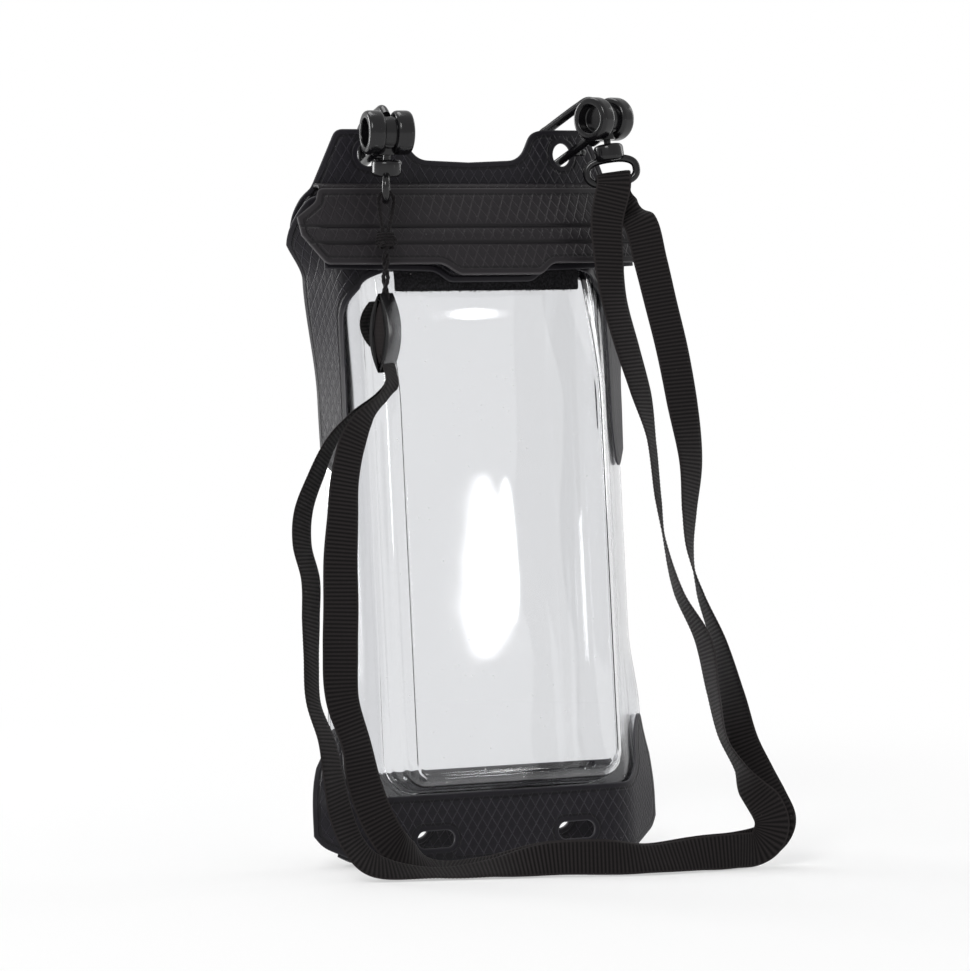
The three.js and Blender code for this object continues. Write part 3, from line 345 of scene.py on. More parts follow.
def wear_group():
    """Fine scratches, specks of dust and slow clouds, as masks from 0 to 1."""
    group, given, out = new_group(
        "handling_marks", {"Vector": None, "Scale": 1.0}, ("Scratches", "Dust", "Clouds")
    )
    vector = node(group, "VectorMath", given["Vector"], operation="SCALE")
    connect(group, given["Scale"], vector.inputs["Scale"])
    vector = vector.outputs[0]
    lines = []
    for turn, scale in ((0.5, 60.0), (-0.9, 45.0), (1.9, 80.0)):
        turned = node(group, "Mapping", vector, vector_type="TEXTURE")
        turned.inputs["Rotation"].default_value = (turn, turn * 0.4, turn)
        turned.inputs["Scale"].default_value = (1, 60, 60)
        value = noise(group, turned.outputs[0], scale * 60, 2.0, 0.6)
        lines.append(spread(group, value, 0.69, 0.74))
    scratches = calc(group, "MAXIMUM", lines[0], calc(group, "MAXIMUM", lines[1], lines[2]))
    patches = spread(group, noise(group, vector, 40.0, 2.0), 0.45, 0.62)
    connect(group, times(group, scratches, patches), out["Scratches"])
    cells = node(group, "TexVoronoi", vector, feature="F1")
    cells.inputs["Scale"].default_value = 560.0
    chance = node(group, "SeparateXYZ", cells.outputs["Color"]).outputs[0]
    size = spread(group, chance, 0.87, 1.0, 0.0, 0.13)
    speck = calc(group, "LESS_THAN", cells.outputs["Distance"], size)
    connect(group, speck, out["Dust"])
    connect(group, noise(group, vector, 22.0, 4.0, 0.6), out["Clouds"])
    return group


def rib_group():
    """Woven ribbon: ribs across it along V, fine warp threads along it, and a flat selvedge at each side."""
    group, given, out = new_group(
        "ribbon_weave", {"Vector": None, "Pitch": 1.1, "Half width": 5.0}, ("Rib", "Thread", "Selvedge")
    )
    axes = node(group, "SeparateXYZ", given["Vector"]).outputs
    waves = times(group, calc(group, "DIVIDE", axes[1], given["Pitch"]), 2 * math.pi)
    rib = fused(group, calc(group, "COSINE", waves), 0.5, 0.5)
    threads = calc(group, "SINE", times(group, axes[0], 2 * math.pi / 0.34))
    thread = fused(group, threads, 0.5, 0.5)
    out_from_middle = calc(group, "DIVIDE", calc(group, "ABSOLUTE", axes[0]), given["Half width"])
    connect(group, rib, out["Rib"])
    connect(group, thread, out["Thread"])
    connect(group, spread(group, out_from_middle, 0.84, 0.93), out["Selvedge"])
    return group


EMBOSS, WEAR, RIBS = emboss_group(), wear_group(), rib_group()


class Finish:
    """A material with one Principled shader, its tree, and the vectors that its patterns use."""

    def __init__(self, name, **constants):
        self.material = bpy.data.materials.new(name)
        self.material.use_nodes = True
        self.tree = self.material.node_tree
        self.shader = self.tree.nodes["Principled BSDF"]
        coordinates = node(self.tree, "TexCoord").outputs
        self.object, self.uv = coordinates["Object"], coordinates["UV"]
        for key, value in constants.items():
            self.shader.inputs[key.replace("_", " ")].default_value = value

    def link(self, **values):
        for key, value in values.items():
            connect(self.tree, value, self.shader.inputs[key.replace("_", " ")])

    def relief(self, height, distance, strength=1.0):
        bumped = node(self.tree, "Bump")
        bumped.inputs["Strength"].default_value = strength
        bumped.inputs["Distance"].default_value = distance
        connect(self.tree, height, bumped.inputs["Height"])
        self.link(Normal=bumped.outputs[0])


def sheet_finish(name, dark, light, pale_colour, pressed_at=()):
    """Soft black sheet: embossed diamonds with paler lines, a pressed weld line near the edge with painted shade in
    it, and dust.

    Straight weld lines, with the same painted shade, run across it at the heights in pressed_at.
    """
    f = Finish(name, IOR=1.5, Specular_IOR_Level=0.2)
    tree = f.tree
    marks = placed(tree, WEAR, Vector=f.object)
    emboss = placed(tree, EMBOSS, Vector=f.uv)
    rim = node(tree, "Attribute", attribute_name="edge").outputs["Fac"]
    shaded_groove = times(tree, spread(tree, rim, 1.3, 1.7), spread(tree, rim, 2.0, 2.4, 1.0, 0.0))
    plain = spread(tree, rim, 0.8, 2.6)
    height = node(tree, "SeparateXYZ", f.uv).outputs[1]
    for place in pressed_at:
        apart = calc(tree, "ABSOLUTE", calc(tree, "SUBTRACT", height, place))
        plain = times(tree, plain, spread(tree, apart, 0.5, 1.1))
        shaded_groove = calc(tree, "MAXIMUM", shaded_groove, spread(tree, apart, 0.2, 0.7, 1.0, 0.0))
    line = times(tree, emboss["Line"], plain)
    tint = fused(tree, line, 0.5, times(tree, marks["Clouds"], 0.35))
    colour = mixed(tree, tint, dark, light)
    # Painted shade: the pressed grooves get a darker colour laid into them.
    colour = laid(tree, colour, shaded_groove, 0.6, (0.003, 0.0028, 0.0034, 1))
    # Paler within half a millimetre of the cut edge, patchy with the clouds.
    pale_rim = times(tree, spread(tree, rim, 0.0, 0.5, 1.0, 0.0), marks["Clouds"])
    colour = laid(tree, colour, pale_rim, 0.9, pale_colour)
    colour = laid(tree, colour, marks["Dust"], 0.55, pale_colour)
    rough = fused(tree, marks["Clouds"], 0.2, 0.36)
    rough = fused(tree, line, -0.08, rough)
    f.link(Base_Color=colour, Roughness=fused(tree, marks["Scratches"], 0.15, rough))
    pressed = times(tree, emboss["Height"], plain)
    f.relief(fused(tree, shaded_groove, -1.2, pressed), 0.00016)
    return f.material


def film_finish():
    """Clear glossy film: light passes through, with a faint grey tint, slow ripples, scratches and dust."""
    f = Finish("clear_film", IOR=1.46, Transmission_Weight=1.0, Specular_IOR_Level=0.5)
    tree = f.tree
    marks = placed(tree, WEAR, Vector=f.object)
    rim = node(tree, "Attribute", attribute_name="edge").outputs["Fac"]
    seam = spread(tree, rim, 0.2, 0.9)
    colour = laid(tree, (0.875, 0.88, 0.89, 1), marks["Clouds"], 0.35, (0.79, 0.795, 0.81, 1))
    colour = laid(tree, colour, seam, 0.5, (0.66, 0.665, 0.685, 1))
    f.link(Base_Color=colour)
    dirt = calc(tree, "MAXIMUM", times(tree, marks["Scratches"], 0.25), marks["Dust"])
    rough = fused(tree, marks["Clouds"], 0.03, 0.01)
    rough = fused(tree, seam, 0.12, rough)
    f.link(Roughness=fused(tree, dirt, 0.5, rough))
    shadow = node(tree, "LightPath").outputs["Is Shadow Ray"]
    f.link(Alpha=fused(tree, shadow, -0.9, 1.0))
    f.relief(noise(tree, f.object, 45.0, 1.0), 0.00002)
    return f.material


def moulded_finish():
    """Glossy moulded plastic: near black, with faint clouds in its gloss, hair scratches and dust."""
    f = Finish("glossy_black", IOR=1.5, Specular_IOR_Level=0.42)
    tree = f.tree
    marks = placed(tree, WEAR, Vector=f.object, Scale=2.0)
    colour = mixed(tree, marks["Clouds"], (0.0025, 0.0024, 0.003, 1), (0.0055, 0.005, 0.006, 1))
    colour = laid(tree, colour, marks["Dust"], 0.35, (0.16, 0.16, 0.165, 1))
    rough = fused(tree, marks["Clouds"], 0.1, 0.13)
    rough = fused(tree, marks["Scratches"], 0.25, rough)
    f.link(Base_Color=colour, Roughness=rough)
    f.relief(noise(tree, f.object, 900.0, 2.0), 0.00002)
    return f.material


def webbing_finish():
    """Brownish black ribbed ribbon: painted highlight on the rib crests and painted shade in the gaps, fine threads
    and a smoother selvedge that is painted pale too.
    """
    f = Finish("webbing", Specular_IOR_Level=0.12, Sheen_Weight=0.05, Sheen_Roughness=0.4)
    tree = f.tree
    marks = placed(tree, WEAR, Vector=f.object)
    weave = placed(tree, RIBS, Vector=f.uv)
    lit_crest = times(tree, weave["Rib"], fused(tree, weave["Thread"], 0.4, 0.6))
    lit_crest = calc(tree, "MAXIMUM", lit_crest, times(tree, weave["Selvedge"], 0.8))
    # Painted light and shade: the crests, threads and selvedge are painted pale, the gaps between the ribs dark.
    colour = mixed(tree, lit_crest, (0.003, 0.0026, 0.0028, 1), (0.025, 0.0212, 0.0215, 1))
    colour = laid(tree, colour, marks["Clouds"], 0.3, (0.0135, 0.0115, 0.0118, 1))
    colour = laid(tree, colour, marks["Dust"], 0.35, (0.09, 0.085, 0.08, 1))
    f.link(Base_Color=colour, Roughness=fused(tree, lit_crest, -0.2, 0.82))
    fuzz = noise(tree, f.object, 4000.0, 2.0)
    height = fused(tree, weave["Thread"], 0.35, fused(tree, fuzz, 0.3, lit_crest))
    f.relief(height, 0.00008)
    return f.material


def twine_finish():
    """Twisted black twine: the strands' fibres lie along them, with a few pale hairs."""
    f = Finish("black_twine", Specular_IOR_Level=0.12, Sheen_Weight=0.06, Sheen_Roughness=0.4)
    tree = f.tree
    axes = node(tree, "SeparateXYZ", f.uv).outputs
    lay = calc(tree, "SINE", fused(tree, axes[0], 24.0, times(tree, axes[1], 3.4)))
    fibre = fused(tree, lay, 0.5, 0.5)
    hair = spread(tree, noise(tree, f.object, 3000.0, 2.0), 0.55, 0.75)
    colour = mixed(tree, fibre, (0.0035, 0.003, 0.0035, 1), (0.016, 0.0135, 0.0145, 1))
    f.link(Base_Color=laid(tree, colour, hair, 0.4, (0.08, 0.075, 0.075, 1)))
    f.link(Roughness=fused(tree, fibre, -0.15, 0.8))
    f.relief(fibre, 0.00006)
    return f.material


def fuzzy_finish():
    """Hook and loop tape: matt black fibres, mottled, with lint caught in them."""
    f = Finish("fuzzy_strip", Specular_IOR_Level=0.1, Sheen_Weight=0.08, Sheen_Roughness=0.5)
    tree = f.tree
    marks = placed(tree, WEAR, Vector=f.object)
    tufts = noise(tree, f.object, 1400.0, 3.0, 0.7)
    colour = mixed(tree, spread(tree, tufts, 0.35, 0.7), (0.004, 0.004, 0.0045, 1), (0.02, 0.019, 0.022, 1))
    colour = laid(tree, colour, marks["Dust"], 0.6, (0.2, 0.19, 0.19, 1))
    f.link(Base_Color=colour, Roughness=fused(tree, tufts, 0.15, 0.8))
    f.relief(tufts, 0.0003)
    return f.material


def wire_finish():
    """Bright spring wire: drawn lines and a slightly uneven gloss."""
    f = Finish("spring_wire", Metallic=1.0)
    tree = f.tree
    drawn = noise(tree, f.object, 5000.0, 2.0)
    f.link(Base_Color=mixed(tree, drawn, (0.42, 0.43, 0.45, 1), (0.62, 0.63, 0.65, 1)))
    f.link(Roughness=fused(tree, drawn, 0.2, 0.2))
    return f.material


FLAP_LINES, FLAP_SWELL = (179.0, 174.5), 176.7  # heights, in mm, of the flap's pressed lines and of its swell
FRAME_SHEET = sheet_finish(
    "black_sheet", (0.0052, 0.0046, 0.0068, 1), (0.034, 0.031, 0.040, 1), (0.09, 0.088, 0.096, 1)
)
# The flap's colours are painted light: it is the same black sheet as the frame, made paler where its face slopes up
# towards the light.
LIT_FLAP_SHEET = sheet_finish(
    "lit_black_flap_sheet", (0.0125, 0.0108, 0.0125, 1), (0.032, 0.028, 0.032, 1), (0.11, 0.105, 0.11, 1), FLAP_LINES
)
FILM, MOULDED, WEBBING = film_finish(), moulded_finish(), webbing_finish()
TWINE, FUZZY, WIRE = twine_finish(), fuzzy_finish(), wire_finish()

# The lanyard. Ribbon routes have x, y, z, the heading of the ribbon's width in plan and how far it rises.
FRONT_STRAND = (
    (-37.9, -14.3, 142.5, 42, 0), (-37.4, -15.4, 138.5, 42, 0), (-37.9, -15.9, 135.5, 42, 0),
    (-40, -14.5, 132.5, 42, 0), (-46.5, -11.5, 127, 42, 0),
    (-52, -9.5, 120.5, 40, 0), (-57.5, -9, 110, 33, 0), (-61.5, -9, 100, 30, 0), (-63, -11, 91, 30, 0),
    (-62, -14, 81.5, 30, 0), (-63, -16, 70.5, 32, 0), (-64.5, -19, 60, 38, 0), (-66.5, -24, 48.5, 40, 0),
    (-65, -29, 38, 34, 0), (-64.5, -32, 28, 26, 0), (-62.5, -32.5, 18, 20, 4), (-60, -35, 10, 24, 12),
    (-55.4, -37.1, 4.7, 34, 24), (-36.5, -42, 1.6, 66, 10), (-23.4, -46.6, 2.5, 70, 22),
    (-8.2, -53.3, 4.9, 70, 62), (4.5, -59, 5.1, 70, 72), (19.6, -62.4, 4.2, 80, 46),
    (33.1, -64.7, 4.9, 88, 62), (43.8, -66.5, 5.3, 120, 86), (52.1, -65.2, 5.5, 150, 86),
    (55, -66, 8, 150, 50), (56, -66.5, 12.5, 150, 15), (55, -65, 17, 148, 0), (51.5, -63, 22, 120, 0),
    (49, -61, 27.5, 84, 0), (46, -57, 35.5, 73, 0), (45, -53, 48.5, 80, 0), (44, -49.5, 62.5, 89, 0),
    (39.5, -43.5, 76, 76, 0), (37.5, -39.5, 89.5, 62, 0), (37, -36.5, 102, 49, 0),
    (37.5, -32, 118.5, 45, 0), (36.5, -28, 131.5, 22, 0), (34.5, -23.5, 145, 13, 0),
    (33, -19, 158, 10, 0), (33, -16, 169.5, 0, 0), (34, -13.5, 180.5, -12, 0),
    (36.2, -13.6, 190.4, -30, 8), (36.6, -12.8, 192.9, -30, 8), (37.7, -10.9, 193.8, -30, 8),
    (38.8, -9, 192.9, -30, 8), (39.3, -8.2, 190.7, -30, 8),
)
REAR_STRAND = (
    (-38.4, -14.6, 142.5, 42, 0), (-38.1, -16.4, 138.8, 42, 0), (-38.9, -18.2, 135.3, 41, 0),
    (-41, -18, 132, 40, 0), (-46, -16.5, 126.5, 24, 0),
    (-49.5, -15.5, 119.5, 10, 0), (-52, -15.5, 109, 8, 0), (-53.5, -17, 98.5, 0, 0),
    (-55, -18.5, 87, -14, 0), (-56, -20.5, 74.5, -24, 0), (-57, -22, 62.5, -28, 0),
    (-57.5, -24, 49, -8, 0), (-54.5, -26.5, 36.5, 4, 0), (-53, -28, 26.5, -10, 6),
    (-51, -31.5, 17, -16, 22), (-47, -33.5, 9.5, -4, 34), (-40.9, -33, 5.7, 32, 26),
    (-31.3, -31.7, 2.1, 64, 10), (-21.4, -41.1, 2.7, 70, 22), (-7.3, -51, 4.9, 70, 62),
    (5.3, -56.9, 5.1, 70, 72), (20.1, -59.4, 4.2, 80, 46), (33.2, -62.2, 4.9, 88, 62),
    (44.8, -63.7, 5.3, 120, 86), (55.7, -62.9, 6.8, 150, 64), (58.5, -64, 9.5, 150, 36),
    (59.5, -64.5, 13, 150, 8), (58, -62.5, 18.5, 146, 0), (56, -58.5, 25.5, 142, 0),
    (53.5, -54.5, 34.5, 130, 0), (52.5, -50.5, 48, 104, 0), (50.5, -46.5, 62.5, 87, 0),
    (47.5, -42, 75.5, 70, 0), (46, -39, 88, 47, 0), (47, -37, 98.5, 33, 0), (49, -34.5, 112.5, 16, 0),
    (48.5, -30.5, 129.5, -6, 0), (48, -26, 144, -12, 0), (47, -21.5, 157, -15, 0),
    (46, -17.5, 169, -22, 0), (44.5, -14, 180, -28, 0), (42.6, -9.2, 183, -30, 0),
    (39.8, -8.4, 186.7, -30, 3), (39.3, -8.2, 189.1, -30, 8),
)
CORD_LOOP = (  # round the ring's bar, above the whipping
    (-37.3, -10.8, 177.4), (-37.1, -8.9, 182.1), (-37.2, -8.1, 186.1), (-36.7, -8.2, 187.8), (-35.3, -9.1, 188.5),
    (-33.9, -9.8, 187.8), (-33.4, -10.2, 186.1), (-34.3, -10.6, 182.1), (-35.9, -11.4, 177.4),
)
LEGS_TOP, LEGS_FOOT, LEGS_TURN = (-36.9, -11.9, 174.5), (-38.3, -14, 158.5), 1.6
RIBBON_HALF_WIDTH, RIBBON_HALF_THICKNESS = 4.9, 0.33
SOLID_HALF_WIDTH, SOLID_HALF_THICKNESS = 5, 0.45  # the ribbon in the solids
RIB_PITCH, RIB_HEIGHT, RINGS_PER_RIB = 1.1, 0.07, 4
CORD_RADIUS, CORD_LAY, CORD_SIDES = 0.6, 4.5, 24
CORD_ACROSS, CORD_FORWARD = np.array((-0.83, 0.55, 0)), np.array((0.55, 0.83, 0))
SAMPLES_PER_SPAN = 40


def ribbon_rings(path, places, width):
    """A ribbon's rings: a flat section with round selvedges, whose two faces rise and fall with the ribs.

    The half thickness is T + h cos(2 pi s / pitch), and less towards each selvedge.
    """
    across = np.sin(np.linspace(-math.pi / 2, math.pi / 2, 9))
    top = np.stack((across, np.sqrt(np.clip(1 - np.abs(across) ** 6, 0, 1))), -1)
    loop = np.vstack((top, -top[1:-1]))
    rib = RIBBON_HALF_THICKNESS + RIB_HEIGHT * np.cos(2 * math.pi * places / RIB_PITCH)
    section = np.empty((len(path), len(loop), 2))
    section[..., 0] = loop[:, 0] * RIBBON_HALF_WIDTH
    section[..., 1] = loop[:, 1] * rib[:, None]
    uv = np.stack(np.broadcast_arrays(section[..., 0], places[:, None]), -1)
    return swept(path, section, width), uv


def ribbon(name, route, node_name):
    """A free ribbon along a route, its width turned as the route says."""
    route = np.asarray(route, float)
    dense = through(route[:, :3], SAMPLES_PER_SPAN)
    turns = through(np.pad(route[:, 3:], ((0, 0), (0, 1))), SAMPLES_PER_SPAN)[:, :2]
    path, places, turns = evenly_along(dense, RIB_PITCH / RINGS_PER_RIB, turns)
    turn, rise = np.radians(turns).T
    width = np.stack((np.cos(turn), np.sin(turn), np.tan(rise)), -1)
    rings, uv = ribbon_rings(path, places, unit(width))
    piece = tube_piece(name, rings, uv, WEBBING, slot="webbing", replaces=node_name, sharp=60)


CLAMP_PLACE = np.array((-38.3, -14, 149.4))
CLAMP_TURN = math.radians(42 - 90)
CLAMP_HEIGHT, CLAMP_WIDTH, CLAMP_HALF_DEPTH, CLAMP_WALL, CLAMP_GAP = 22, 11, 2.6, 0.8, 0.6
PLATE_ROUNDING, PLATE_INSET = 0.3, 0.12
LOOP_HEIGHT, LOOP_HALF_DEPTH, LOOP_RISE, SHEET_GAP = 13, 3.2, 2.5, 0.45


def clamp_frame(points):
    """From the clamp's own frame, with X across its plates and Y along its width, to the part's."""
    c, s = math.cos(CLAMP_TURN), math.sin(CLAMP_TURN)
    return np.asarray(points) @ np.array(((c, s, 0), (-s, c, 0), (0, 0, 1))) + CLAMP_PLACE


def lens(proud, height, count=24):
    """Half a lens in the XZ plane, from its foot to its top: the quadratic curve through (proud, 0)."""
    t = np.linspace(0, 1, count)
    return np.stack((4 * proud * t * (1 - t), height * (t - 0.5)), -1)


def across_clamp(loop, width):
    """Rings of an XZ loop from one side of the clamp to the other, drawn in a little at both ends."""
    loop = np.asarray(loop, float)
    middle = loop.mean(0)
    y = np.array((-0.5, -0.5 + PLATE_ROUNDING / width, 0.5 - PLATE_ROUNDING / width, 0.5)) * width
    inset = np.array((1, 0, 0, 1)) * PLATE_INSET
    normal = unit(middle - loop)
    ring = loop[None] + normal[None] * inset[:, None, None]
    return np.stack((ring[..., 0], np.broadcast_to(y[:, None], ring.shape[:2]), ring[..., 1]), -1)


def make_clamp():
    """Two bowed plates with rounded edges, the ribbon's ends between them and the end's loop beside them."""
    made = []
    for name, node_name, side in (
        ("clamp_plate_right", "clamp_right_plate", 1), ("clamp_plate_left", "clamp_left_plate", -1),
    ):
        outer = lens(CLAMP_HALF_DEPTH, CLAMP_HEIGHT)
        inner = lens(CLAMP_HALF_DEPTH - CLAMP_WALL, CLAMP_HEIGHT - 2 * CLAMP_WALL)
        loop = np.vstack((outer, inner[::-1])) + (CLAMP_GAP / 2, 0)
        turned = lambda p, side=side: clamp_frame(p * (side, side, 1))
        made.append(tidy_normals(tube_piece(
            name, across_clamp(loop, CLAMP_WIDTH), None, MOULDED, turned, slot="glossy_black",
            replaces=node_name, sharp=50,
        )))
    half = lens(CLAMP_HALF_DEPTH - CLAMP_WALL - SHEET_GAP + CLAMP_GAP / 2, CLAMP_HEIGHT - 2 * CLAMP_WALL - 3)
    loop = np.vstack((half, (half * (-1, 1))[-2:0:-1]))
    rings = across_clamp(loop, 2 * SOLID_HALF_WIDTH)
    made.append(tidy_normals(tube_piece(
        "ribbon_sewn_ends", rings, rings[..., 1:], WEBBING, clamp_frame, slot="webbing", replaces="ribbon_ends",
    )))
    arch = lens(LOOP_HALF_DEPTH - SOLID_HALF_THICKNESS, LOOP_HEIGHT - 2 * SOLID_HALF_THICKNESS, 60) * (-1, 1)
    arch += (-CLAMP_HALF_DEPTH - SHEET_GAP, LOOP_RISE)
    path = np.insert(arch, 1, 0, axis=1)
    path, places = evenly_along(path, RIB_PITCH / RINGS_PER_RIB)
    rings, uv = ribbon_rings(path, places, (0, 1, 0))
    made.append(tube_piece(
        "ribbon_loop", rings, uv, WEBBING, clamp_frame, slot="webbing", replaces="ribbon_end_loop",
    ))
    return made


def tidy_normals(piece):
    """Merges doubled points and turns every face outwards."""
    work = bmesh.new()
    work.from_mesh(piece.data)
    bmesh.ops.remove_doubles(work, verts=work.verts, dist=1e-7)
    bmesh.ops.recalc_face_normals(work, faces=work.faces)
    work.to_mesh(piece.data)
    work.free()
    return piece


KNOT_TURNS, KNOT_RADIUS, KNOT_SIDES = 5.5, 0.42, 10
KNOT_REACH = (1.95, 1.05)  # half sizes of the oval on which the whipping lies


def make_knot():
    """Whipping round both legs of the cord: a helix on an oval, and two short frayed tails."""
    t = np.linspace(0, 1, 260)[:, None]
    low, high = np.array((-37.12, -12.05, 172.9)), np.array((-36.5, -11.05, 177.2))
    side = unit(np.array((1.7, -0.95, 0.0)))
    over = unit(np.cross(high - low, side))
    angle = 2 * math.pi * KNOT_TURNS * t
    bulge = 1 + 0.25 * np.sin(math.pi * t)
    wide, deep = KNOT_REACH
    path = low + (high - low) * t + side * wide * bulge * np.cos(angle) + over * deep * bulge * np.sin(angle)
    shell = Shell()
    section = circle(KNOT_SIDES) * KNOT_RADIUS
    shell.tube(swept(path, section, high - low), twine_uv(path, KNOT_SIDES, KNOT_RADIUS))
    tails = (
        ((-38.2, -13.1, 174.5), (-39.6, -13.9, 174.0), (-40.2, -14.3, 172.2)),
        ((-35.4, -12.6, 176.2), (-34.6, -13.6, 175.4), (-34.4, -14.0, 173.6)),
    )
    for points in tails:
        tail = through(points, 12)
        radius = np.linspace(0.34, 0.16, len(tail))[:, None, None]
        shell.tube(swept(tail, circle(8) * radius, (0.2, 1, 0.1)), twine_uv(tail, 8, 0.3))
    return shell.piece("cord_whipping", TWINE, slot="webbing", sharp=60)


def twine_uv(path, sides, radius):
    """U round the twine and V along it, both in mm."""
    far = np.concatenate(([0], np.cumsum(np.linalg.norm(np.diff(path, axis=0), axis=1))))
    round_it = np.arange(sides) / sides * 2 * math.pi * radius
    return np.stack(np.broadcast_arrays(round_it[None], far[:, None]), -1)


def make_cord(pieces):
    """Three-strand twisted cord: its radius is R (0.88 + 0.12 cos 3(a - 2 pi s / lay))."""
    down = np.linspace(0, 1, 14)[:, None]
    middle = np.array(LEGS_TOP) + (np.array(LEGS_FOOT) - LEGS_TOP) * down
    turn = 2 * math.pi * LEGS_TURN * down
    apart = CORD_RADIUS * 1.04 * (CORD_ACROSS * np.cos(turn) + CORD_FORWARD * np.sin(turn))
    route = np.vstack(((middle + apart)[::-1], CORD_LOOP, middle - apart))
    path, places = evenly_along(through(route, 16), 0.2)
    angle = np.linspace(0, 2 * math.pi, CORD_SIDES, endpoint=False)
    radius = CORD_RADIUS * (0.88 + 0.12 * np.cos(3 * (angle[None] - 2 * math.pi * places[:, None] / CORD_LAY)))
    section = radius[..., None] * circle(CORD_SIDES)
    piece = tube_piece(
        "lanyard_twine", swept(path, section, (0.47, 0.88, 0.02)), twine_uv(path, CORD_SIDES, CORD_RADIUS),
        TWINE, slot="webbing", replaces="lanyard_cord", sharp=70,
    )


clamp_pieces = make_clamp()
ribbon("ribbon_strand_a", FRONT_STRAND, "ribbon_front_strand")
ribbon("ribbon_strand_b", REAR_STRAND, "ribbon_rear_strand")
make_cord([make_knot()])

# The bent sheets: u runs across the flat sheet from its middle, v is the height, both in mm.
ORIGIN = np.array((0.0838, 14.5429, 0.2))  # the middle of the foot in the sheets' own frame
HALF_WIDTH = 58
SHEET, FILM_THICKNESS = 0.8, 0.5
LEAN = math.tan(math.radians(5.5))
POCKET_HALF_WIDTH, POCKET_BOTTOM, POCKET_DEPTH, POCKET_CORNER, POCKET_WALL = 37.5, 20.5, 9.5, 9, 4.5
REAR_DEPTH, FOOT_DEPTH = 4, 17
BAND_HEIGHT, BAND_EAR_HEIGHT, BAND_EAR_WIDTH = 19.8, 38, 11
SLOT_LENGTH, SLOT_HEIGHT, SLOT_CENTRE = 12, 4.8, (23, 7.2)
FILM_FOOT = SLOT_CENTRE[1] + SLOT_HEIGHT / 2 + 1
MOUTH = 188
ARCH_HEIGHT, LEG_END, LEG_INNER, SHOULDER_DROP = MOUTH - 22, 109, HALF_WIDTH - 15, 13
EAR_TOP, EAR_HALF_WIDTH, SADDLE = MOUTH + 18.5, 49.5, MOUTH + 9.2
HOLE_CENTRE, HOLE_RADIUS = (32, MOUTH + 11.4), 3.3
FLAP_HALF_WIDTH, FLAP_CREASE, FLAP_REACH = 57.5, MOUTH + 2, 12.5
FLAP_FOOT = FLAP_CREASE - 21.4
TAB_HALF_WIDTH, TAB_DROP = 18, 3.1
LIP_FOOT, LIP_REACH = FLAP_FOOT - 2.2, 7.6
HOOK_STRIP, HOOK_HALF_WIDTH = (FLAP_FOOT + 2.4, FLAP_FOOT + 13.4), 48
LOOP_STRIP, LOOP_HALF_WIDTH = (LIP_FOOT - 5.4, LIP_FOOT + 4.6), 30
FASTENER = 1.1
FRONT_FILM = (SHEET_GAP + FILM_THICKNESS) / 2
FRONT_SHEET = FRONT_FILM + FILM_THICKNESS / 2 + SHEET_GAP + SHEET / 2
REAR_SHEET = FRONT_SHEET + 0.7
ON_PANEL = FRONT_SHEET + SHEET + SHEET_GAP
SEAM_START, LEVEL_HALF_WIDTH = 50, 26
WELD_CHANNELS = (1.1, -0.5, -1.9, -3.3, -4.9)  # distances from the pocket's outline
SIDE_RIDGES = (44.5, 46.4, 48.3)  # distances from the middle
DOME, DOME_MIDDLE, DOME_HALF_WIDTH, DOME_HALF_HEIGHT = 0.7, 102, 31, 78
FILM_INSET, SHOULDER_FOOT = 0.3, 150
FAR_FROM_EDGE = 5.0  # where the "edge" attribute ends
SHEET_STEP, FLAP_STEP, TAPE_STEP, RIM_STEP, RIM_ROLL = 1.2, 0.6, 1.4, 0.8, 0.12
FOLD_DROP, FOLD_RISE, FOLD_SIDES, FOLD_HOLLOW = 0.4, 1.5, 13, (0.86, 0.45)

# Height, half width of the flat middle, width of each bend, and the turn of the left and right sides.
STATIONS = np.array((
    (0, 35, 9, 36, 34),
    (14, 35, 9, 40, 34),
    (38, 36, 6, 76, 40),
    (62, 37, 5, 87, 48),
    (MOUTH - 58, 37, 5, 87, 48),
    (MOUTH - 24, 34, 9, 76, 38),
    (FLAP_CREASE, 15, 34, 16, 14),
    (EAR_TOP + 5.5, 15, 34, 16, 14),
), float)


def plan(u, v):
    """A point of the bent sheet in plan and its outward normal: flat middle, an arc, a straight side."""
    above = np.clip(np.searchsorted(STATIONS[:, 0], v), 1, len(STATIONS) - 1)
    low, high = STATIONS[above - 1], STATIONS[above]
    t = smooth(v, low[..., 0], high[..., 0])[..., None]
    _, flat, bend, left, right = np.moveaxis(low + (high - low) * t, -1, 0)
    side = np.where(u < 0, -1.0, 1.0)
    turn = np.radians(np.where(u < 0, left, right))
    far = np.abs(u)
    bent = np.clip(far - flat, 0, bend)
    straight = np.maximum(far - flat - bend, 0)
    angle, radius = turn * bent / bend, bend / turn
    x = np.minimum(far, flat) + radius * np.sin(angle) + straight * np.cos(turn)
    y = radius * (1 - np.cos(angle)) + straight * np.sin(turn)
    return side * x, y, side * np.sin(angle), -np.cos(angle)


def pocket_edge(u, v):
    """Signed distance to the pocket's outline, a rounded oblong: below 0 inside the pocket."""
    across = np.abs(u) - (POCKET_HALF_WIDTH - POCKET_CORNER)
    down = POCKET_BOTTOM + POCKET_CORNER - v
    outside = np.hypot(np.maximum(across, 0), np.maximum(down, 0))
    return outside + np.minimum(np.maximum(across, down), 0) - POCKET_CORNER


def pocket_bulge(u, v):
    """How far the pocket's front stands forward: a smooth wall at its outline, fading out to the mouth."""
    closing = 1 - smooth(v, MOUTH - 12, MOUTH - 2)
    fade = (1 - 0.9 * smooth(v, MOUTH - 60, MOUTH - 10)) * closing
    return POCKET_DEPTH * smooth(-pocket_edge(u, v), 0, POCKET_WALL) * fade


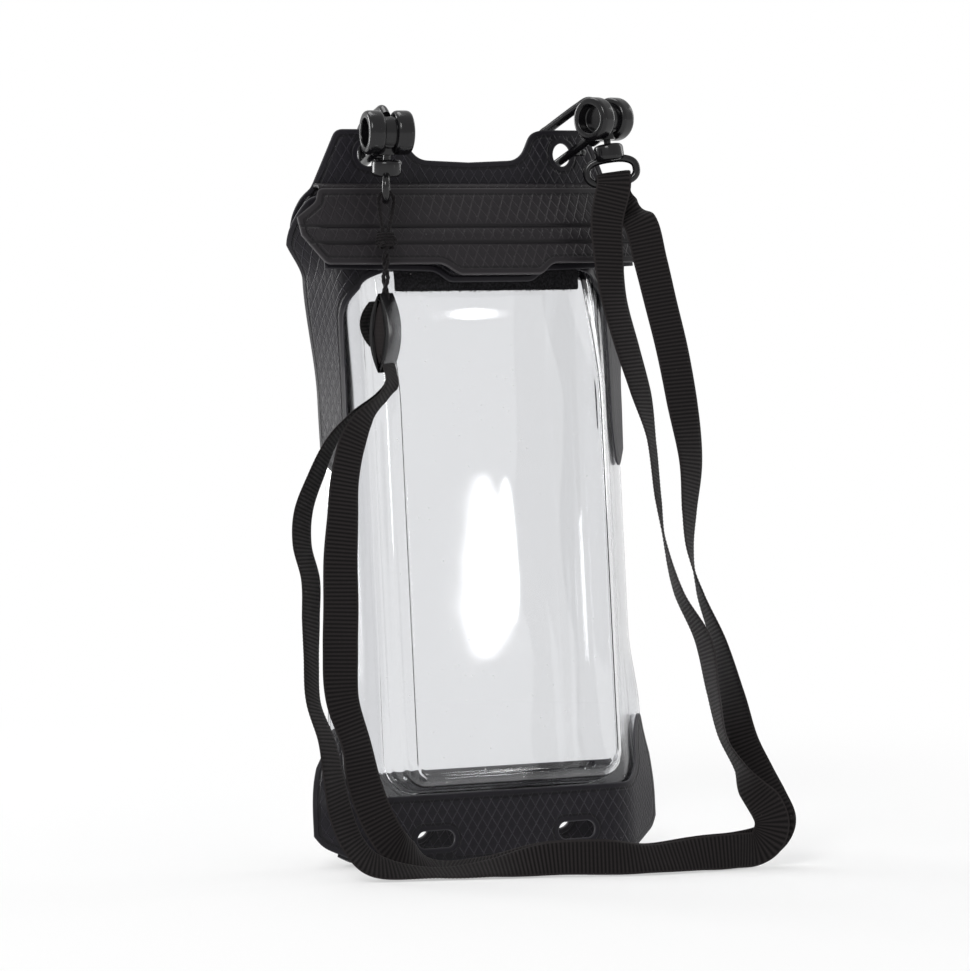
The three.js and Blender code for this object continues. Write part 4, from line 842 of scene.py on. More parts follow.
def front_surface(u, v):
    """The bent sheet with the pocket's bulge along its normal, leaning back with the height."""
    x, y, nx, ny = plan(u, v)
    b = pocket_bulge(u, v)
    return np.stack((x + b * nx, y + b * ny + v * LEAN, v + 0 * x), -1)


def frame_surface(u, v):
    """The bent sheet without the pocket's bulge."""
    x, y, _, _ = plan(u, v)
    return np.stack((x, y + v * LEAN, v + 0 * x), -1)


def rear_surface(depth_at, leaving, apart_at):
    """A rear sheet: level behind the middle, then a cubic Bezier curve in plan to the side seam."""

    def surface(u, v):
        on_frame = frame_surface(u, v)
        side = np.where(u < 0, -1.0, 1.0)
        sx, sy, snx, sny = plan(side * SEAM_START, v)
        depth = depth_at(v) + 0 * u
        lx, ly = leaving(sx, sy, snx, sny, side, depth)
        t = np.clip((np.abs(u) - LEVEL_HALF_WIDTH) / (SEAM_START - LEVEL_HALF_WIDTH), 0, 1)
        weights = ((1 - t) ** 3, 3 * t * (1 - t) ** 2, 3 * t * t * (1 - t), t**3)
        xs = (side * LEVEL_HALF_WIDTH, side * (LEVEL_HALF_WIDTH + 9), lx, sx)
        ys = (depth, depth, ly, sy)
        x, y = (sum(w * c for w, c in zip(weights, line)) for line in (xs, ys))
        x = np.where(np.abs(u) < LEVEL_HALF_WIDTH, u, x)
        apart = np.where(np.abs(u) >= SEAM_START, 0, apart_at(v) + 0 * u)
        bent = np.stack((x, y + v * LEAN, v + 0 * x), -1)
        return on_frame + (bent - on_frame) * apart[..., None]

    return surface


rear_film_surface = rear_surface(
    lambda v: REAR_DEPTH,
    lambda sx, sy, nx, ny, side, depth: (sx + side * 6 * ny, sy - side * 6 * nx),
    lambda v: smooth(v, POCKET_BOTTOM - 8, POCKET_BOTTOM + 4) * (1 - smooth(v, MOUTH - 38, MOUTH - 2)),
)
rear_band_surface = rear_surface(
    lambda v: FOOT_DEPTH + (REAR_DEPTH - FOOT_DEPTH) * smooth(v, -8, BAND_HEIGHT + 8),
    lambda sx, sy, nx, ny, side, depth: (sx - side * 6, sy + (depth - sy) * 0.35),
    lambda v: 1.0,
)


def forward_of(u, v, forward):
    """The sheet's form at the flap's crease, moved forward by so many mm."""
    x, y, _, _ = plan(u, FLAP_CREASE + 0 * v)
    return np.stack((x, y - forward + v * LEAN, v + 0 * x), -1)


def flap_surface(u, v):
    """The flap slopes down and forward from its crease, swells a little, and has two pressed lines."""
    t = (FLAP_CREASE - v) / (FLAP_CREASE - FLAP_FOOT)
    forward = ON_PANEL + (FLAP_REACH - ON_PANEL) * t
    ends = smooth(np.abs(u), 50, 57.5)
    return forward_of(u, v, forward + 0.35 * np.sin(math.pi * np.clip(t, 0, 1)) * (1 - ends))


def flap_relief(u, v):
    inside = 1 - smooth(np.abs(u), 50, 53)
    lines = sum(bump(v, height, 0.6) for height in FLAP_LINES)
    return (0.25 * bump(v, FLAP_SWELL, 1.3) - 0.6 * lines) * inside


def lip_surface(u, v):
    """The lip under the flap: it stands off the panel at its foot and meets it at the mouth."""
    reach = smooth(v, LIP_FOOT - TAB_DROP, MOUTH)
    return forward_of(u, v, LIP_REACH + (ON_PANEL - LIP_REACH) * reach)


def pocket_relief(u, v):
    """Weld channels that follow the pocket's outline, slow hollows, and a low dome on the film's middle."""
    edge = pocket_edge(u, v)
    channels = sum(bump(edge, place, 0.38) for place in WELD_CHANNELS)
    fade = 1 - smooth(v, 150, 170)
    slow = np.sin(u / 9.0 + 0.6 * np.sin(v / 17.0)) * np.sin(v / 23.0 + 1.1) * 0.012
    rise = np.clip(1 - ((v - DOME_MIDDLE) / DOME_HALF_HEIGHT) ** 2, 0, 1)
    dome = DOME * (1 - (u / DOME_HALF_WIDTH) ** 2) * rise
    return 0.42 * channels * fade + (slow + dome) * smooth(-edge, 5, 12)


def flange_relief(u, v):
    """Ridges along the side weld of the rear film and slow hollows behind the pocket."""
    ridges = sum(bump(np.abs(u), place, 0.35) for place in SIDE_RIDGES)
    slow = np.sin(u / 11.0 + 1.0) * np.sin(v / 27.0 + 0.4) * 0.04
    return -0.14 * ridges - slow * (1 - smooth(np.abs(u), 18, 30))


def frame_relief(u, v):
    """A soft waviness of the black sheet, largest at its side edges."""
    return 0.14 * np.sin(v / 7.5 + np.abs(u) / 19.0) * smooth(np.abs(u), 40, 57)


def level(surface, u, v, n, relief=None):
    """A surface's points moved off it by n, towards the front, and by its relief."""
    h = 0.05
    across = surface(u + h, v) - surface(u - h, v)
    up = surface(u, v + h) - surface(u, v - h)
    off = n + (relief(u, v) if relief else 0 * u)
    points = surface(u, v) + unit(np.cross(across, up)) * off[..., None] - ORIGIN
    points[..., 2] = np.maximum(points[..., 2], 0)
    return points


# Sheets cut to an outline
def outline(low, high, radius):
    """The loop between a lower and an upper edge that are the same on both sides of the middle."""
    low, high = rounded(low, radius), rounded(high, radius)
    mirrored = (-1, 1)
    return np.vstack((low[:0:-1] * mirrored, low, high[::-1], high[1:] * mirrored))


def spaced(loop, step):
    """A closed loop with points at most a step apart, its own corners kept."""
    loop = np.asarray(loop, float)
    keep = np.linalg.norm(loop - np.roll(loop, 1, axis=0), axis=1) > 1e-4
    loop = loop[keep]
    runs = []
    for a, b in zip(loop, np.roll(loop, -1, axis=0)):
        count = max(int(np.ceil(np.linalg.norm(b - a) / step)), 1)
        runs.append(a + (b - a) * np.arange(count)[:, None] / count)
    return np.vstack(runs)


def inside(points, loops):
    """True where a point is inside an odd number of loops: a ray to +u crosses their sides."""
    odd = np.zeros(len(points), bool)
    for loop in loops:
        for (ax, ay), (bx, by) in zip(loop, np.roll(loop, -1, axis=0)):
            if ay == by:
                continue
            spans = (points[:, 1] < ay) != (points[:, 1] < by)
            odd ^= spans & (points[:, 0] < ax + (points[:, 1] - ay) * (bx - ax) / (by - ay))
    return odd


def nearest_side(points, loops):
    """Distance from each point to the nearest side of the loops."""
    best = np.full(len(points), 1e9)
    for loop in loops:
        a, b = loop, np.roll(loop, -1, axis=0)
        along = b - a
        size = np.maximum((along**2).sum(-1), 1e-12)
        for start in range(0, len(points), 4000):
            p = points[start:start + 4000, None]
            t = np.clip(((p - a) * along).sum(-1) / size, 0, 1)[..., None]
            far = np.linalg.norm(p - (a + along * t), axis=-1).min(1)
            best[start:start + 4000] = np.minimum(best[start:start + 4000], far)
    return best


def cut_sheet(name, loops, surface, middle, thickness, relief=None, step=SHEET_STEP, **how):
    """A sheet cut to its loops in (u, v): two faces a thickness apart, joined by a rounded wall.

    Points inside lie on a grid; a constrained Delaunay net joins them to the loops, and every point then
    goes to surface(u, v) plus or minus half the thickness along the surface's normal.
    """
    loops = [spaced(loop, RIM_STEP) for loop in loops]
    low, high = np.vstack(loops).min(0), np.vstack(loops).max(0)
    axes = [np.arange(a + step / 2, b, step) for a, b in zip(low, high)]
    grid = np.stack(np.meshgrid(*axes), -1).reshape(-1, 2)
    grid = grid[inside(grid, loops)]
    grid = grid[nearest_side(grid, loops) > step * 0.45]
    flat = np.vstack((*loops, grid))
    starts = np.cumsum([0] + [len(loop) for loop in loops])
    edges = [
        (start + i, start + (i + 1) % len(loop)) for start, loop in zip(starts, loops) for i in range(len(loop))
    ]
    verts, _, faces, *_ = delaunay_2d_cdt([Vector(p) for p in flat.tolist()], edges, [], 0, 1e-6)
    flat, faces = np.array(verts), np.array(faces)
    faces = faces[inside(flat[faces].mean(1), loops)]
    a, b, c = (flat[faces[:, i]] for i in range(3))
    area = (b[:, 0] - a[:, 0]) * (c[:, 1] - a[:, 1]) - (b[:, 1] - a[:, 1]) * (c[:, 0] - a[:, 0])
    faces[area < 0] = faces[area < 0][:, ::-1]
    used = np.unique(faces)
    renumber = np.full(len(flat), -1)
    renumber[used] = np.arange(len(used))
    flat, faces = flat[used], renumber[faces]
    sides = np.vstack((faces[:, (0, 1)], faces[:, (1, 2)], faces[:, (2, 0)]))
    codes = sides[:, 0] * len(flat) + sides[:, 1]
    back = sides[:, 1] * len(flat) + sides[:, 0]
    rim = sides[~np.isin(codes, back)]
    count = len(flat)
    u, v = flat.T
    edge = nearest_side(flat, loops)
    roll = np.where(edge < 1e-3, RIM_ROLL, 0.0)  # the rim of each face is rolled in a little
    layers = [level(surface, u, v, middle + sign * (thickness / 2 - roll), relief) for sign in (1, -1)]
    a, b = rim.T
    wall = np.stack((a, a + count, b + count, b), -1)
    return add_piece(
        name, np.vstack(layers), [faces, faces[:, ::-1] + count, wall], uv=np.tile(flat, (2, 1)),
        edge=np.tile(edge, 2), sharp=55, **how,
    )


def ring_loop(centre, radius, count=40):
    return np.asarray(centre) + circle(count) * radius


def slot_loop(side):
    """A slot with round ends: two half circles joined by straight sides."""
    reach = (SLOT_LENGTH - SLOT_HEIGHT) / 2
    ends = circle(40) * SLOT_HEIGHT / 2
    return ends + np.where(ends[:, :1] > 0, 1, -1) * (reach, 0) + (side * SLOT_CENTRE[0], SLOT_CENTRE[1])


def band_loops(middle_top):
    """The bottom band's outline, with an ear at each side, and its two slots."""
    inner = HALF_WIDTH - BAND_EAR_WIDTH
    low = ((0, 0), (41, 0), (HALF_WIDTH - 2.5, 5.4), (HALF_WIDTH, 8.4))
    high = (
        (0, middle_top), (inner - 5, middle_top), (inner, middle_top + 4.5), (inner + 1.5, BAND_EAR_HEIGHT - 5),
        (inner + 5, BAND_EAR_HEIGHT), (HALF_WIDTH - 3, BAND_EAR_HEIGHT), (HALF_WIDTH, BAND_EAR_HEIGHT - 12),
    )
    return [outline(low, high, 2.5), slot_loop(-1), slot_loop(1)]


ARCH = (
    (0, ARCH_HEIGHT), (LEG_INNER - 9, ARCH_HEIGHT), (LEG_INNER - 1, ARCH_HEIGHT - 10),
    (LEG_INNER, LEG_END + 12), (LEG_INNER + 4, LEG_END + 2), (LEG_INNER + 9, LEG_END),
    (HALF_WIDTH, LEG_END + 5),
)


def make_sheets():
    """The black sheets, each cut to its outline and laid on its surface."""
    shoulder = ((EAR_HALF_WIDTH + 3, MOUTH - 2), (HALF_WIDTH, MOUTH - SHOULDER_DROP))
    mouth = ((0, MOUTH), (EAR_HALF_WIDTH, MOUTH), *shoulder)
    ears = (
        (0, SADDLE), (15, SADDLE + 0.6), (18, SADDLE + 2.4), (21, EAR_TOP - 1.2), (24.5, EAR_TOP),
        (41.5, EAR_TOP), (EAR_HALF_WIDTH, FLAP_CREASE), *shoulder,
    )
    holes = [ring_loop((side * HOLE_CENTRE[0], HOLE_CENTRE[1]), HOLE_RADIUS) for side in (-1, 1)]
    tab = lambda foot: ((0, foot - TAB_DROP), (TAB_HALF_WIDTH - 4.6, foot - TAB_DROP), (TAB_HALF_WIDTH, foot))
    flap_low = (*tab(FLAP_FOOT), (FLAP_HALF_WIDTH - 5, FLAP_FOOT), (FLAP_HALF_WIDTH, FLAP_FOOT + 8))
    flap_high = (
        (0, FLAP_CREASE - SHEET_GAP), (EAR_HALF_WIDTH, FLAP_CREASE - SHEET_GAP),
        (EAR_HALF_WIDTH + 1.5, FLAP_CREASE - 4), (FLAP_HALF_WIDTH, FLAP_FOOT + 13),
    )
    lip_low = (*tab(LIP_FOOT), (FLAP_HALF_WIDTH - 7, LIP_FOOT + 1))
    lip_high = ((0, MOUTH - 3), (FLAP_HALF_WIDTH - 7, MOUTH - 3))
    cuts = (
        ("band_front_sheet", "front_band", band_loops(BAND_HEIGHT), frame_surface, FRONT_SHEET, None),
        ("band_rear_sheet", "rear_band", band_loops(BAND_HEIGHT + 6), rear_band_surface, -REAR_SHEET, None),
        ("upper_front_sheet", "front_panel", [outline(ARCH, mouth, 4)], front_surface, FRONT_SHEET, frame_relief),
        (
            "upper_rear_sheet", "rear_panel", [outline(ARCH, ears, 2), *holes], rear_film_surface, -REAR_SHEET,
            frame_relief,
        ),
        ("flap_sheet", "closure_flap", [outline(flap_low, flap_high, 1.5)], flap_surface, 0, flap_relief),
        ("lip_sheet", "inner_lip", [outline(lip_low, lip_high, 1.5)], lip_surface, 0, None),
    )
    for name, node_name, loops, surface, middle, relief in cuts:
        material, step = (LIT_FLAP_SHEET, FLAP_STEP) if name == "flap_sheet" else (FRAME_SHEET, SHEET_STEP)
        piece = cut_sheet(
            name, loops, surface, middle, SHEET, relief, step, material=material, slot="black_sheet",
            replaces=node_name,
        )


def make_fold():
    """The crease over which the flap folds: half an oval in section, carried along the mouth."""
    u = np.linspace(-EAR_HALF_WIDTH + 0.5, EAR_HALF_WIDTH - 0.5, 130)
    v = np.full_like(u, FLAP_CREASE - FOLD_DROP)
    front = forward_of(u, v, ON_PANEL) - ORIGIN
    rear = level(rear_film_surface, u, v, -REAR_SHEET)
    middle, reach = (front + rear) / 2, np.linalg.norm(rear - front, axis=-1) / 2
    turn = np.linspace(0, math.pi, FOLD_SIDES)
    outer = np.stack((np.cos(turn), np.sin(turn)), -1)
    section = np.vstack((outer, (outer * FOLD_HOLLOW)[::-1]))
    back = unit(rear - front)
    up = np.array((0, LEAN, 1)) / math.hypot(LEAN, 1)
    along, over = section[None, :, :1], section[None, :, 1:]
    rings = middle[:, None] + back[:, None] * (along * -reach[:, None, None]) + up * (over * FOLD_RISE)
    uv = np.stack(np.broadcast_arrays(u[:, None], FLAP_CREASE + section[None, :, 1] * 3), -1)
    shell = Shell()
    shell.tube(rings, uv)
    edge = np.full(shell.count, FAR_FROM_EDGE)
    tidy_normals(shell.piece("flap_fold", LIT_FLAP_SHEET, slot="black_sheet", sharp=60, edge=edge))


def make_films():
    """The two clear films, each a closed shell on a grid that is finest at the weld channels."""
    side, top = HALF_WIDTH - FILM_INSET, MOUTH - FILM_INSET
    half = stops((0, 0), (30, 24), (39, 44), (side, 24))
    rows = stops((FILM_FOOT, 0), (18, 8), (27, 44), (40, 10), (SHOULDER_FOOT, 74), (top, 30))
    u, v = np.meshgrid(both_ways(half), rows)
    slope = SHOULDER_DROP * smooth(np.abs(u), EAR_HALF_WIDTH + 0.5, side)
    v = v - slope * np.clip((v - SHOULDER_FOOT) / (MOUTH - SHOULDER_FOOT), 0, 1)
    shape, flat = u.shape, np.stack((u, v), -1).reshape(-1, 2)
    for name, node_name, surface, n, relief in (
        ("film_front", "front_window", front_surface, FRONT_FILM, pocket_relief),
        ("film_rear", "rear_window", rear_film_surface, -FRONT_FILM, flange_relief),
    ):
        layers = [level(surface, u, v, n + sign * FILM_THICKNESS / 2, relief).reshape(-1, 3) for sign in (1, -1)]
        count = len(flat)
        index = np.arange(count).reshape(shape)
        rim = np.concatenate((index[0], index[1:, -1], index[-1, -2::-1], index[-2:0:-1, 0]))
        after = np.roll(rim, -1)
        wall = np.stack((rim, rim + count, after + count, after), -1)
        front = grid_faces(*shape)
        welded = np.clip(pocket_edge(u, v), 0, FAR_FROM_EDGE) * (surface is front_surface)
        piece = add_piece(
            name, np.vstack(layers), [front, front[:, ::-1] + count, wall], FILM, slot="clear_film",
            replaces=node_name, uv=np.tile(flat, (2, 1)), edge=np.tile(welded.ravel(), 2), sharp=60,
        )


FIBRE_RADIUS = 0.05
FIBRE_QUADS = np.array((  # the sides of a fibre's twelve points: three pairs above, three below
    (0, 1, 3, 2), (2, 3, 5, 4), (6, 8, 9, 7), (8, 10, 11, 9), (0, 2, 8, 6), (2, 4, 10, 8),
    (1, 7, 9, 3), (3, 9, 11, 5), (0, 6, 7, 1), (4, 5, 11, 10),
))


def make_tapes():
    """Hook tape and loop tape: a woven ground with rows of fine fibres that stand off its face."""
    random = np.random.default_rng(7)
    for name, node_name, half, (low, high), surface, count in (
        ("hook_tape", "hook_strip", HOOK_HALF_WIDTH, HOOK_STRIP, flap_surface, 1400),
        ("loop_tape", "loop_strip", LOOP_HALF_WIDTH, LOOP_STRIP, lip_surface, 2600),
    ):
        behind = -(SHEET + FASTENER) / 2 - SHEET_GAP
        loop = rounded(((0, low), (half, low), (half, high), (0, high)), 0.8)
        loop = np.vstack((loop, (loop * (-1, 1))[-2:0:-1]))
        cut_sheet(
            name, [loop], surface, behind, FASTENER * 0.8, step=TAPE_STEP, material=FUZZY,
            slot="fuzzy_strip", replaces=node_name,
        )
        u = random.uniform(-half + 0.3, half - 0.3, count)
        v = random.uniform(low + 0.1, high - 0.1, count)
        v = np.where(random.random(count) < 0.35, low + random.uniform(-0.1, 0.5, count), v)
        face = np.where(random.random(count) < 0.5, 1.0, -1.0)
        root = level(surface, u, v, behind + face * FASTENER * 0.36)
        tip = level(surface, u, v, behind + face * FASTENER * 0.5)
        normal = unit(tip - root)
        lean = unit(random.normal(size=(count, 3)))
        side = unit(np.cross(normal, lean)) * FIBRE_RADIUS
        bend = root + normal * 0.1 + lean * 0.22
        end = bend + lean * 0.25 - normal * 0.02
        rows = [root + side, root - side, bend + side, bend - side, end + side * 0.3, end - side * 0.3]
        points = np.stack(rows, 1)
        thick = np.cross(unit(side), lean)[:, None] * FIBRE_RADIUS
        points = np.concatenate((points + thick, points - thick), 1).reshape(-1, 3)
        faces = (np.arange(count)[:, None, None] * 12 + FIBRE_QUADS).reshape(-1, 4)
        fibres = add_piece(name + "_fibres", points, faces, FUZZY, slot="fuzzy_strip", sharp=80)
        tidy_normals(fibres)


make_sheets()
make_fold()
make_films()
make_tapes()

# Bolt snaps, each in its own frame: the origin is the middle of the lobes, +Y back, X along their axis.
CLIP_REACH, LOBE_RADIUS, LOBE_WIDTH, GROOVE = 18, 6.2, 5, 3.2
RECESS_RADIUS, RECESS_DEPTH = 4, 3.2
ARM_PITCH, ARM_SPACING, ARM_SIZE = math.radians(18), 10.2, 2.6
BOLT_RADIUS, BOLT_TRAVEL, BOLT_DROP, CLEARANCE, BARREL_WALL = 1.2, 6, 2.5, 0.35, 1
SPRING_LENGTH, SPRING_GAP = 1.2, 0.2
NECK_RADIUS, NECK_LENGTH = 1, 1.3
COLLAR_RADIUS, COLLAR_HEIGHT, COLLAR_LIP = 4.25, 4.8, 1
PIN_HEAD_RADIUS, PIN_HEAD_HEIGHT = 2, 1
RING_HALF_WIDTH, RING_HALF_HEIGHT, RING_DROP, RING_WIRE = 7.1, 3.6, 7.7, 1.1
RING_SIDES, RING_POWER = 20, 0.78
BOSS_RADIUS, DRILL_END, KNOB_BACK = 2.4, 9.0, 4.6
ALONG = CLIP_REACH / math.cos(ARM_PITCH)
NOSE = ALONG + 5.5
BARREL = (-3, ALONG - 12.2)
BARREL_FLOOR = BARREL[0] + BARREL_WALL
BOLT_TIP = NOSE - ARM_SIZE / 2 - CLEARANCE
COLLAR_TOP = -LOBE_RADIUS - NECK_LENGTH
BOLT_AXIS = np.array((0, math.cos(ARM_PITCH), -math.sin(ARM_PITCH)))
ARM_UP = np.array((0, math.sin(ARM_PITCH), math.cos(ARM_PITCH)))
SIDEWAYS = np.array((1.0, 0, 0))
SNAPS = (  # name, middle of the lobes, yaw, pitch and the ring's heading
    ("left", (-35.542, -10.065, 204.929), -12, 3, 60),
    ("right", (36.566, -7.487, 209.163), 18, -11, -30),
)


def on_bolt(points):
    """From a frame whose Z runs along the bolt to the snap's frame."""
    x, y, z = np.moveaxis(np.asarray(points, float), -1, 0)
    start = np.array((0, 0, -BOLT_DROP))
    return start + x[..., None] * SIDEWAYS + y[..., None] * ARM_UP + z[..., None] * BOLT_AXIS


def on_lobes(side):
    """From a frame whose Z runs out along a lobe's axis to the snap's frame."""
    return lambda p: np.stack((side * p[..., 2], p[..., 0], p[..., 1] * side), -1)


def bored(shell, profile, radius, sides, place):
    """Adds a turned piece with the bolt's bore cut out of it."""
    def temporary(line, sides, to_snap):
        turned = Shell()
        turned.turned(line, radius, sides, to_snap)
        mesh = bpy.data.meshes.new("temporary")
        mesh.from_pydata(np.vstack(turned.points).tolist(), [], [f for g in turned.faces for f in g.tolist()])
        work = bmesh.new()
        work.from_mesh(mesh)
        bmesh.ops.recalc_face_normals(work, faces=work.faces)
        work.to_mesh(mesh)
        work.free()
        made = bpy.data.objects.new("temporary", mesh)
        bpy.context.scene.collection.objects.link(made)
        return made

    bore = BOLT_RADIUS + CLEARANCE
    drill_line = ((0, BARREL_FLOOR), (bore, BARREL_FLOOR), (bore, DRILL_END), (0, DRILL_END))
    solid, drill = temporary(profile, sides, place), temporary(drill_line, 32, on_bolt)
    cut = solid.modifiers.new("bore", "BOOLEAN")
    cut.operation, cut.object, cut.solver = "DIFFERENCE", drill, "EXACT"
    work = bmesh.new()
    work.from_object(solid, bpy.context.evaluated_depsgraph_get())
    bmesh.ops.triangulate(work, faces=work.faces)
    cut_mesh = bpy.data.meshes.new("temporary")
    work.to_mesh(cut_mesh)
    work.free()
    points = np.empty(3 * len(cut_mesh.vertices), np.float32)
    corners = np.empty(len(cut_mesh.loops), np.int32)  # every face is a triangle now
    cut_mesh.vertices.foreach_get("co", points)
    cut_mesh.loops.foreach_get("vertex_index", corners)
    shell.add(points.reshape(-1, 3), corners.reshape(-1, 3))
    meshes = (solid.data, drill.data, cut_mesh)
    for made in (solid, drill):
        bpy.data.objects.remove(made)
    for mesh in meshes:
        bpy.data.meshes.remove(mesh)


def make_body(shell):
    """Two recessed lobes on a hub, the barrel, the hook arm, the boss and the swivel pin with its head."""
    inner, outer = GROOVE / 2, GROOVE / 2 + LOBE_WIDTH
    floor = outer - RECESS_DEPTH
    lobe = (
        (0, inner), (LOBE_RADIUS, inner), (LOBE_RADIUS, outer), (RECESS_RADIUS, outer),
        (RECESS_RADIUS, floor), (0, floor),
    )
    radii = (0, 1.5, 1.5, 0.5, 0.6, 0)
    for side in (-1, 1):
        shell.turned(lobe, radii, 72, on_lobes(side))
    hub = ((0, -inner - 0.2), (LOBE_RADIUS - 1.6, -inner - 0.2), (LOBE_RADIUS - 1.6, inner + 0.2), (0, inner + 0.2))
    bored(shell, hub, 0.05, 64, on_lobes(1))
    bore, wall = BOLT_RADIUS + CLEARANCE, BOLT_RADIUS + CLEARANCE + BARREL_WALL
    barrel = (
        (0, BARREL[0]), (wall, BARREL[0]), (wall, BARREL[1]), (bore, BARREL[1]), (bore, BARREL_FLOOR),
        (0, BARREL_FLOOR),
    )
    shell.turned(barrel, (0, 0.7, 0.35, 0.3, 0.1, 0), 48, on_bolt)
    top = ARM_SPACING
    arm = (
        (-1, top - 3), (2, top - 0.4), (6, top), (ALONG, top), (NOSE - 3, top), (NOSE - 0.6, top - 1.2),
        (NOSE, top - 3.6), (NOSE, 2), (NOSE, -1.2),
    )
    path = through([on_bolt((0, up, along)) for along, up in arm], 14)
    size = np.full(len(path), ARM_SIZE / 2)
    size[-5:] *= (0.98, 0.93, 0.84, 0.66, 0.3)  # the hook's end is rounded over
    shell.tube(swept(path, circle(24) * size[:, None, None], SIDEWAYS))
    head_top = COLLAR_TOP - COLLAR_LIP - CLEARANCE
    boss = ((0, -LOBE_RADIUS), (BOSS_RADIUS, -LOBE_RADIUS), (BOSS_RADIUS, -2), (0, -2))
    neck = (
        (0, head_top - PIN_HEAD_HEIGHT), (PIN_HEAD_RADIUS, head_top - PIN_HEAD_HEIGHT), (PIN_HEAD_RADIUS, head_top),
        (NECK_RADIUS, head_top), (NECK_RADIUS, 1 - LOBE_RADIUS), (0, 1 - LOBE_RADIUS),
    )
    bored(shell, boss, 0.3, 48, lambda p: p)
    shell.turned(neck, 0.15, 40)


def make_bolt(shell):
    """A round rod with a domed tip, and a stepped thumb knob that stands out beside it."""
    start = BARREL_FLOOR + BOLT_TRAVEL + SPRING_LENGTH + 2 * SPRING_GAP
    rod = ((0, start), (BOLT_RADIUS, start), (BOLT_RADIUS, BOLT_TIP), (0, BOLT_TIP))
    shell.turned(rod, (0, 0.25, 0.6, 0), 40, on_bolt)
    knob = ((0, 0.6), (1.25, 0.6), (1.15, 2.4), (0.85, 2.7), (0.85, 3.5), (1.05, 3.8), (1.0, 5.2), (0, 5.2))
    place = lambda p: on_bolt(np.stack((p[..., 2], p[..., 0], ALONG - KNOB_BACK + p[..., 1]), -1))
    shell.turned(knob, (0, 0.1, 0.3, 0.2, 0.2, 0.25, 0.45, 0), 32, place)


def make_ring(shell):
    """The collar, hollow for the pin's head, and a wire bent to a rounded oval below it.

    The oval is (a sgn(cos t)|cos t|^q, b sgn(sin t)|sin t|^q) with q = RING_POWER.
    """
    cavity, bore = PIN_HEAD_RADIUS + 0.5, NECK_RADIUS + CLEARANCE
    floor = -COLLAR_LIP - PIN_HEAD_HEIGHT - 2 * CLEARANCE
    collar = (
        (0, -COLLAR_HEIGHT), (COLLAR_RADIUS, -COLLAR_HEIGHT), (COLLAR_RADIUS, 0), (bore, 0),
        (bore, -COLLAR_LIP), (cavity, -COLLAR_LIP), (cavity, floor), (0, floor),
    )
    radii = (0, 1.5, 1.3, 0.2, 0.1, 0.1, 0.1, 0)
    shell.turned(collar, radii, 64)
    t = np.linspace(0, 2 * math.pi, 120, endpoint=False)
    power = lambda c: np.sign(c) * np.abs(c) ** RING_POWER
    x, z = RING_HALF_WIDTH * power(np.cos(t)), RING_HALF_HEIGHT * power(np.sin(t)) - RING_DROP
    out = unit(np.stack((np.cos(t) / RING_HALF_WIDTH, np.sin(t) / RING_HALF_HEIGHT), -1))
    section = circle(RING_SIDES) * RING_WIRE
    rings = np.stack((
        x[:, None] + out[:, :1] * section[:, 0],
        np.broadcast_to(section[:, 1], (len(t), RING_SIDES)),
        z[:, None] + out[:, 1:] * section[:, 0],
    ), -1)
    shell.add(rings, grid_faces(len(t), RING_SIDES, True, True))


def make_snaps():
    """Both snaps: each piece is made in the snap's or the ring's own frame, then turned into the part's."""
    for name, place, yaw, pitch, heading in SNAPS:
        turn = np.array(Matrix.Rotation(math.radians(yaw), 3, "Z") @ Matrix.Rotation(math.radians(pitch), 3, "X"))
        in_part = lambda p, turn=turn, place=place: p @ turn.T + place
        swing = np.array(Matrix.Rotation(math.radians(heading - yaw), 3, "Z"))
        in_ring = lambda p, swing=swing, in_part=in_part: in_part(p @ swing.T + (0, 0, COLLAR_TOP))
        for piece_name, make, body, node_name, to_part in (
            ("_snap_moulding", make_body, "root", "_snap_body", in_part),
            ("_snap_slider", make_bolt, name + "_bolt", "_snap_bolt", in_part),
            ("_snap_ring", make_ring, name + "_ring", "_swivel_ring", in_ring),
        ):
            shell = Shell()
            make(shell)
            piece = shell.piece(
                name + piece_name, MOULDED, to_part, body=body, slot="glossy_black",
                replaces=name + node_name, sharp=40,
            )
            tidy_normals(piece)
            piece.data.set_sharp_from_angle(angle=math.radians(40))
        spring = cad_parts[name + "_snap_spring"].data.materials
        spring.clear()
        spring.append(WIRE)


make_snaps()


# Floor, backdrop and light
FLOOR_REACH, SHADOW_FROM, SHADOW_TO = 12.0, 0.12, 0.45
WORLD_LIGHT, GLOSSY_SHARE = 0.5, 0.3
LAMPS = (  # name, place, target, size, watts and shape
    ("key", (-0.9, -0.8, 1.0), (0, 0, 0.1), (0.5, 0.5), 7, "RECTANGLE"),
    ("window", (0.604, -1.047, 0.197), (0.001, -0.016, 0.084), (0.028, 0.095), 0.085, "ELLIPSE"),
    ("side", (1.2, 0.1, 0.5), (0, 0, 0.1), (0.4, 0.8), 3, "RECTANGLE"),
    ("top", (0.0, 0.5, 1.3), (0, 0, 0.1), (0.7, 0.7), 5, "RECTANGLE"),
    ("back_left", (-0.75, 1.15, 0.35), (-0.03, 0, 0.12), (0.5, 0.7), 10, "RECTANGLE"),
)


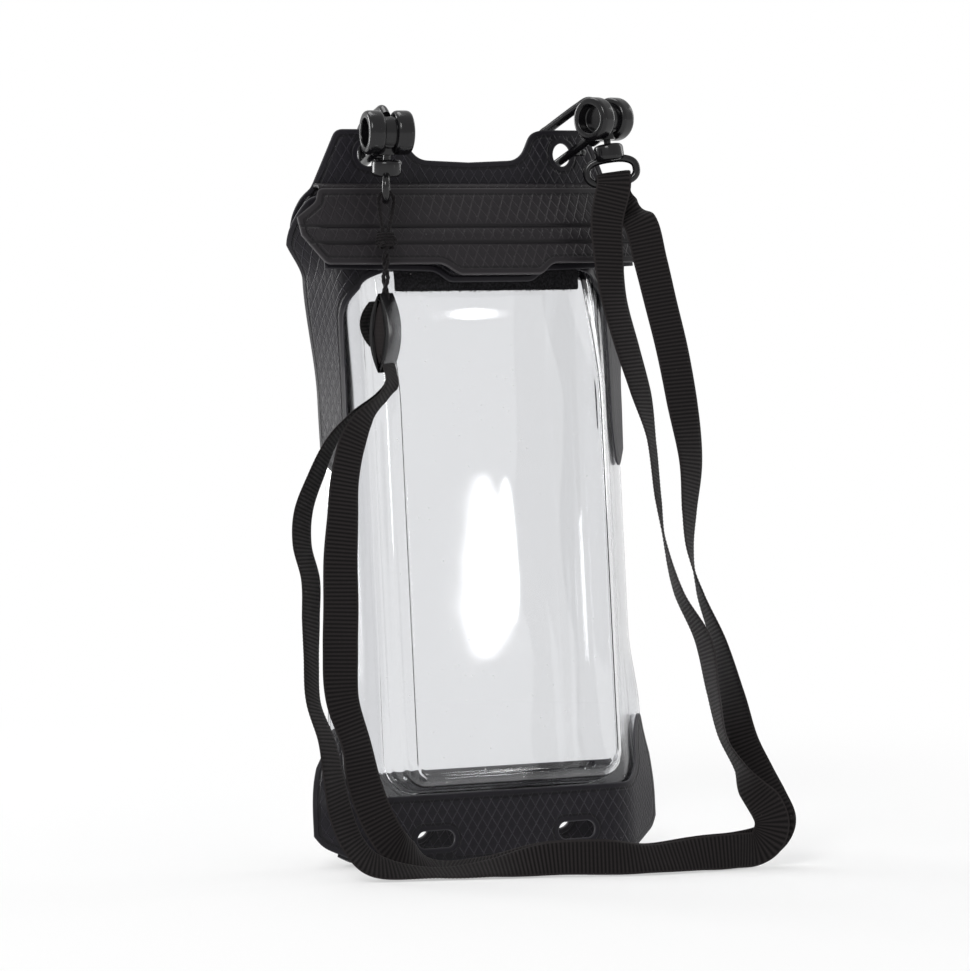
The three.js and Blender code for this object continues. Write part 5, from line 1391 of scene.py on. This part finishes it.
def make_floor():
    """A pale floor that keeps the shadow near the pouch and runs out to plain white."""
    mesh = bpy.data.meshes.new("floor")
    corners = [(x * FLOOR_REACH, y * FLOOR_REACH, 0) for x, y in ((-1, -1), (1, -1), (1, 1), (-1, 1))]
    mesh.from_pydata(corners, [], [(0, 1, 2, 3)])
    material = bpy.data.materials.new("pale_floor")
    material.use_nodes = True
    tree = material.node_tree
    tree.nodes.clear()
    far = node(tree, "VectorMath", node(tree, "TexCoord").outputs["Object"], operation="LENGTH").outputs["Value"]
    seen = spread(tree, far, SHADOW_FROM, SHADOW_TO, 0.45, 1.0)
    lit = node(tree, "BsdfDiffuse", (0.9, 0.9, 0.9, 1)).outputs[0]
    white = node(tree, "Emission", (1, 1, 1, 1), 1.0).outputs[0]
    mix = node(tree, "MixShader", seen, lit, white).outputs[0]
    connect(tree, mix, node(tree, "OutputMaterial").inputs[0])
    mesh.materials.append(material)
    floor = bpy.data.objects.new("floor", mesh)
    bpy.context.scene.collection.objects.link(floor)


def make_world():
    """Even white light at WORLD_LIGHT; the camera and the clear film see full white.

    A reflection sees it GLOSSY_SHARE of the way from that light to full white.
    """
    world = bpy.data.worlds.new("studio")
    bpy.context.scene.world = world
    world.use_nodes = True
    tree = world.node_tree
    tree.nodes.clear()
    path = node(tree, "LightPath").outputs
    seen = calc(tree, "MAXIMUM", path["Is Camera Ray"], path["Is Transmission Ray"])
    shown = calc(tree, "MAXIMUM", seen, times(tree, path["Is Glossy Ray"], GLOSSY_SHARE))
    strength = fused(tree, shown, 1.0 - WORLD_LIGHT, WORLD_LIGHT)
    background = node(tree, "Background", (1, 1, 1, 1), strength).outputs[0]
    connect(tree, background, node(tree, "OutputWorld").inputs[0])


def add_lamp(name, place, target, size, power, shape):
    data = bpy.data.lights.new(name, "AREA")
    data.shape = shape
    data.size, data.size_y = size
    data.energy = power
    lamp = bpy.data.objects.new(name, data)
    lamp.location = place
    lamp.rotation_euler = (Vector(target) - Vector(place)).to_track_quat("-Z", "Y").to_euler()
    bpy.context.scene.collection.objects.link(lamp)


make_floor()
make_world()
for lamp in LAMPS:
    add_lamp(*lamp)
bpy.context.scene.view_settings.view_transform = "Standard"
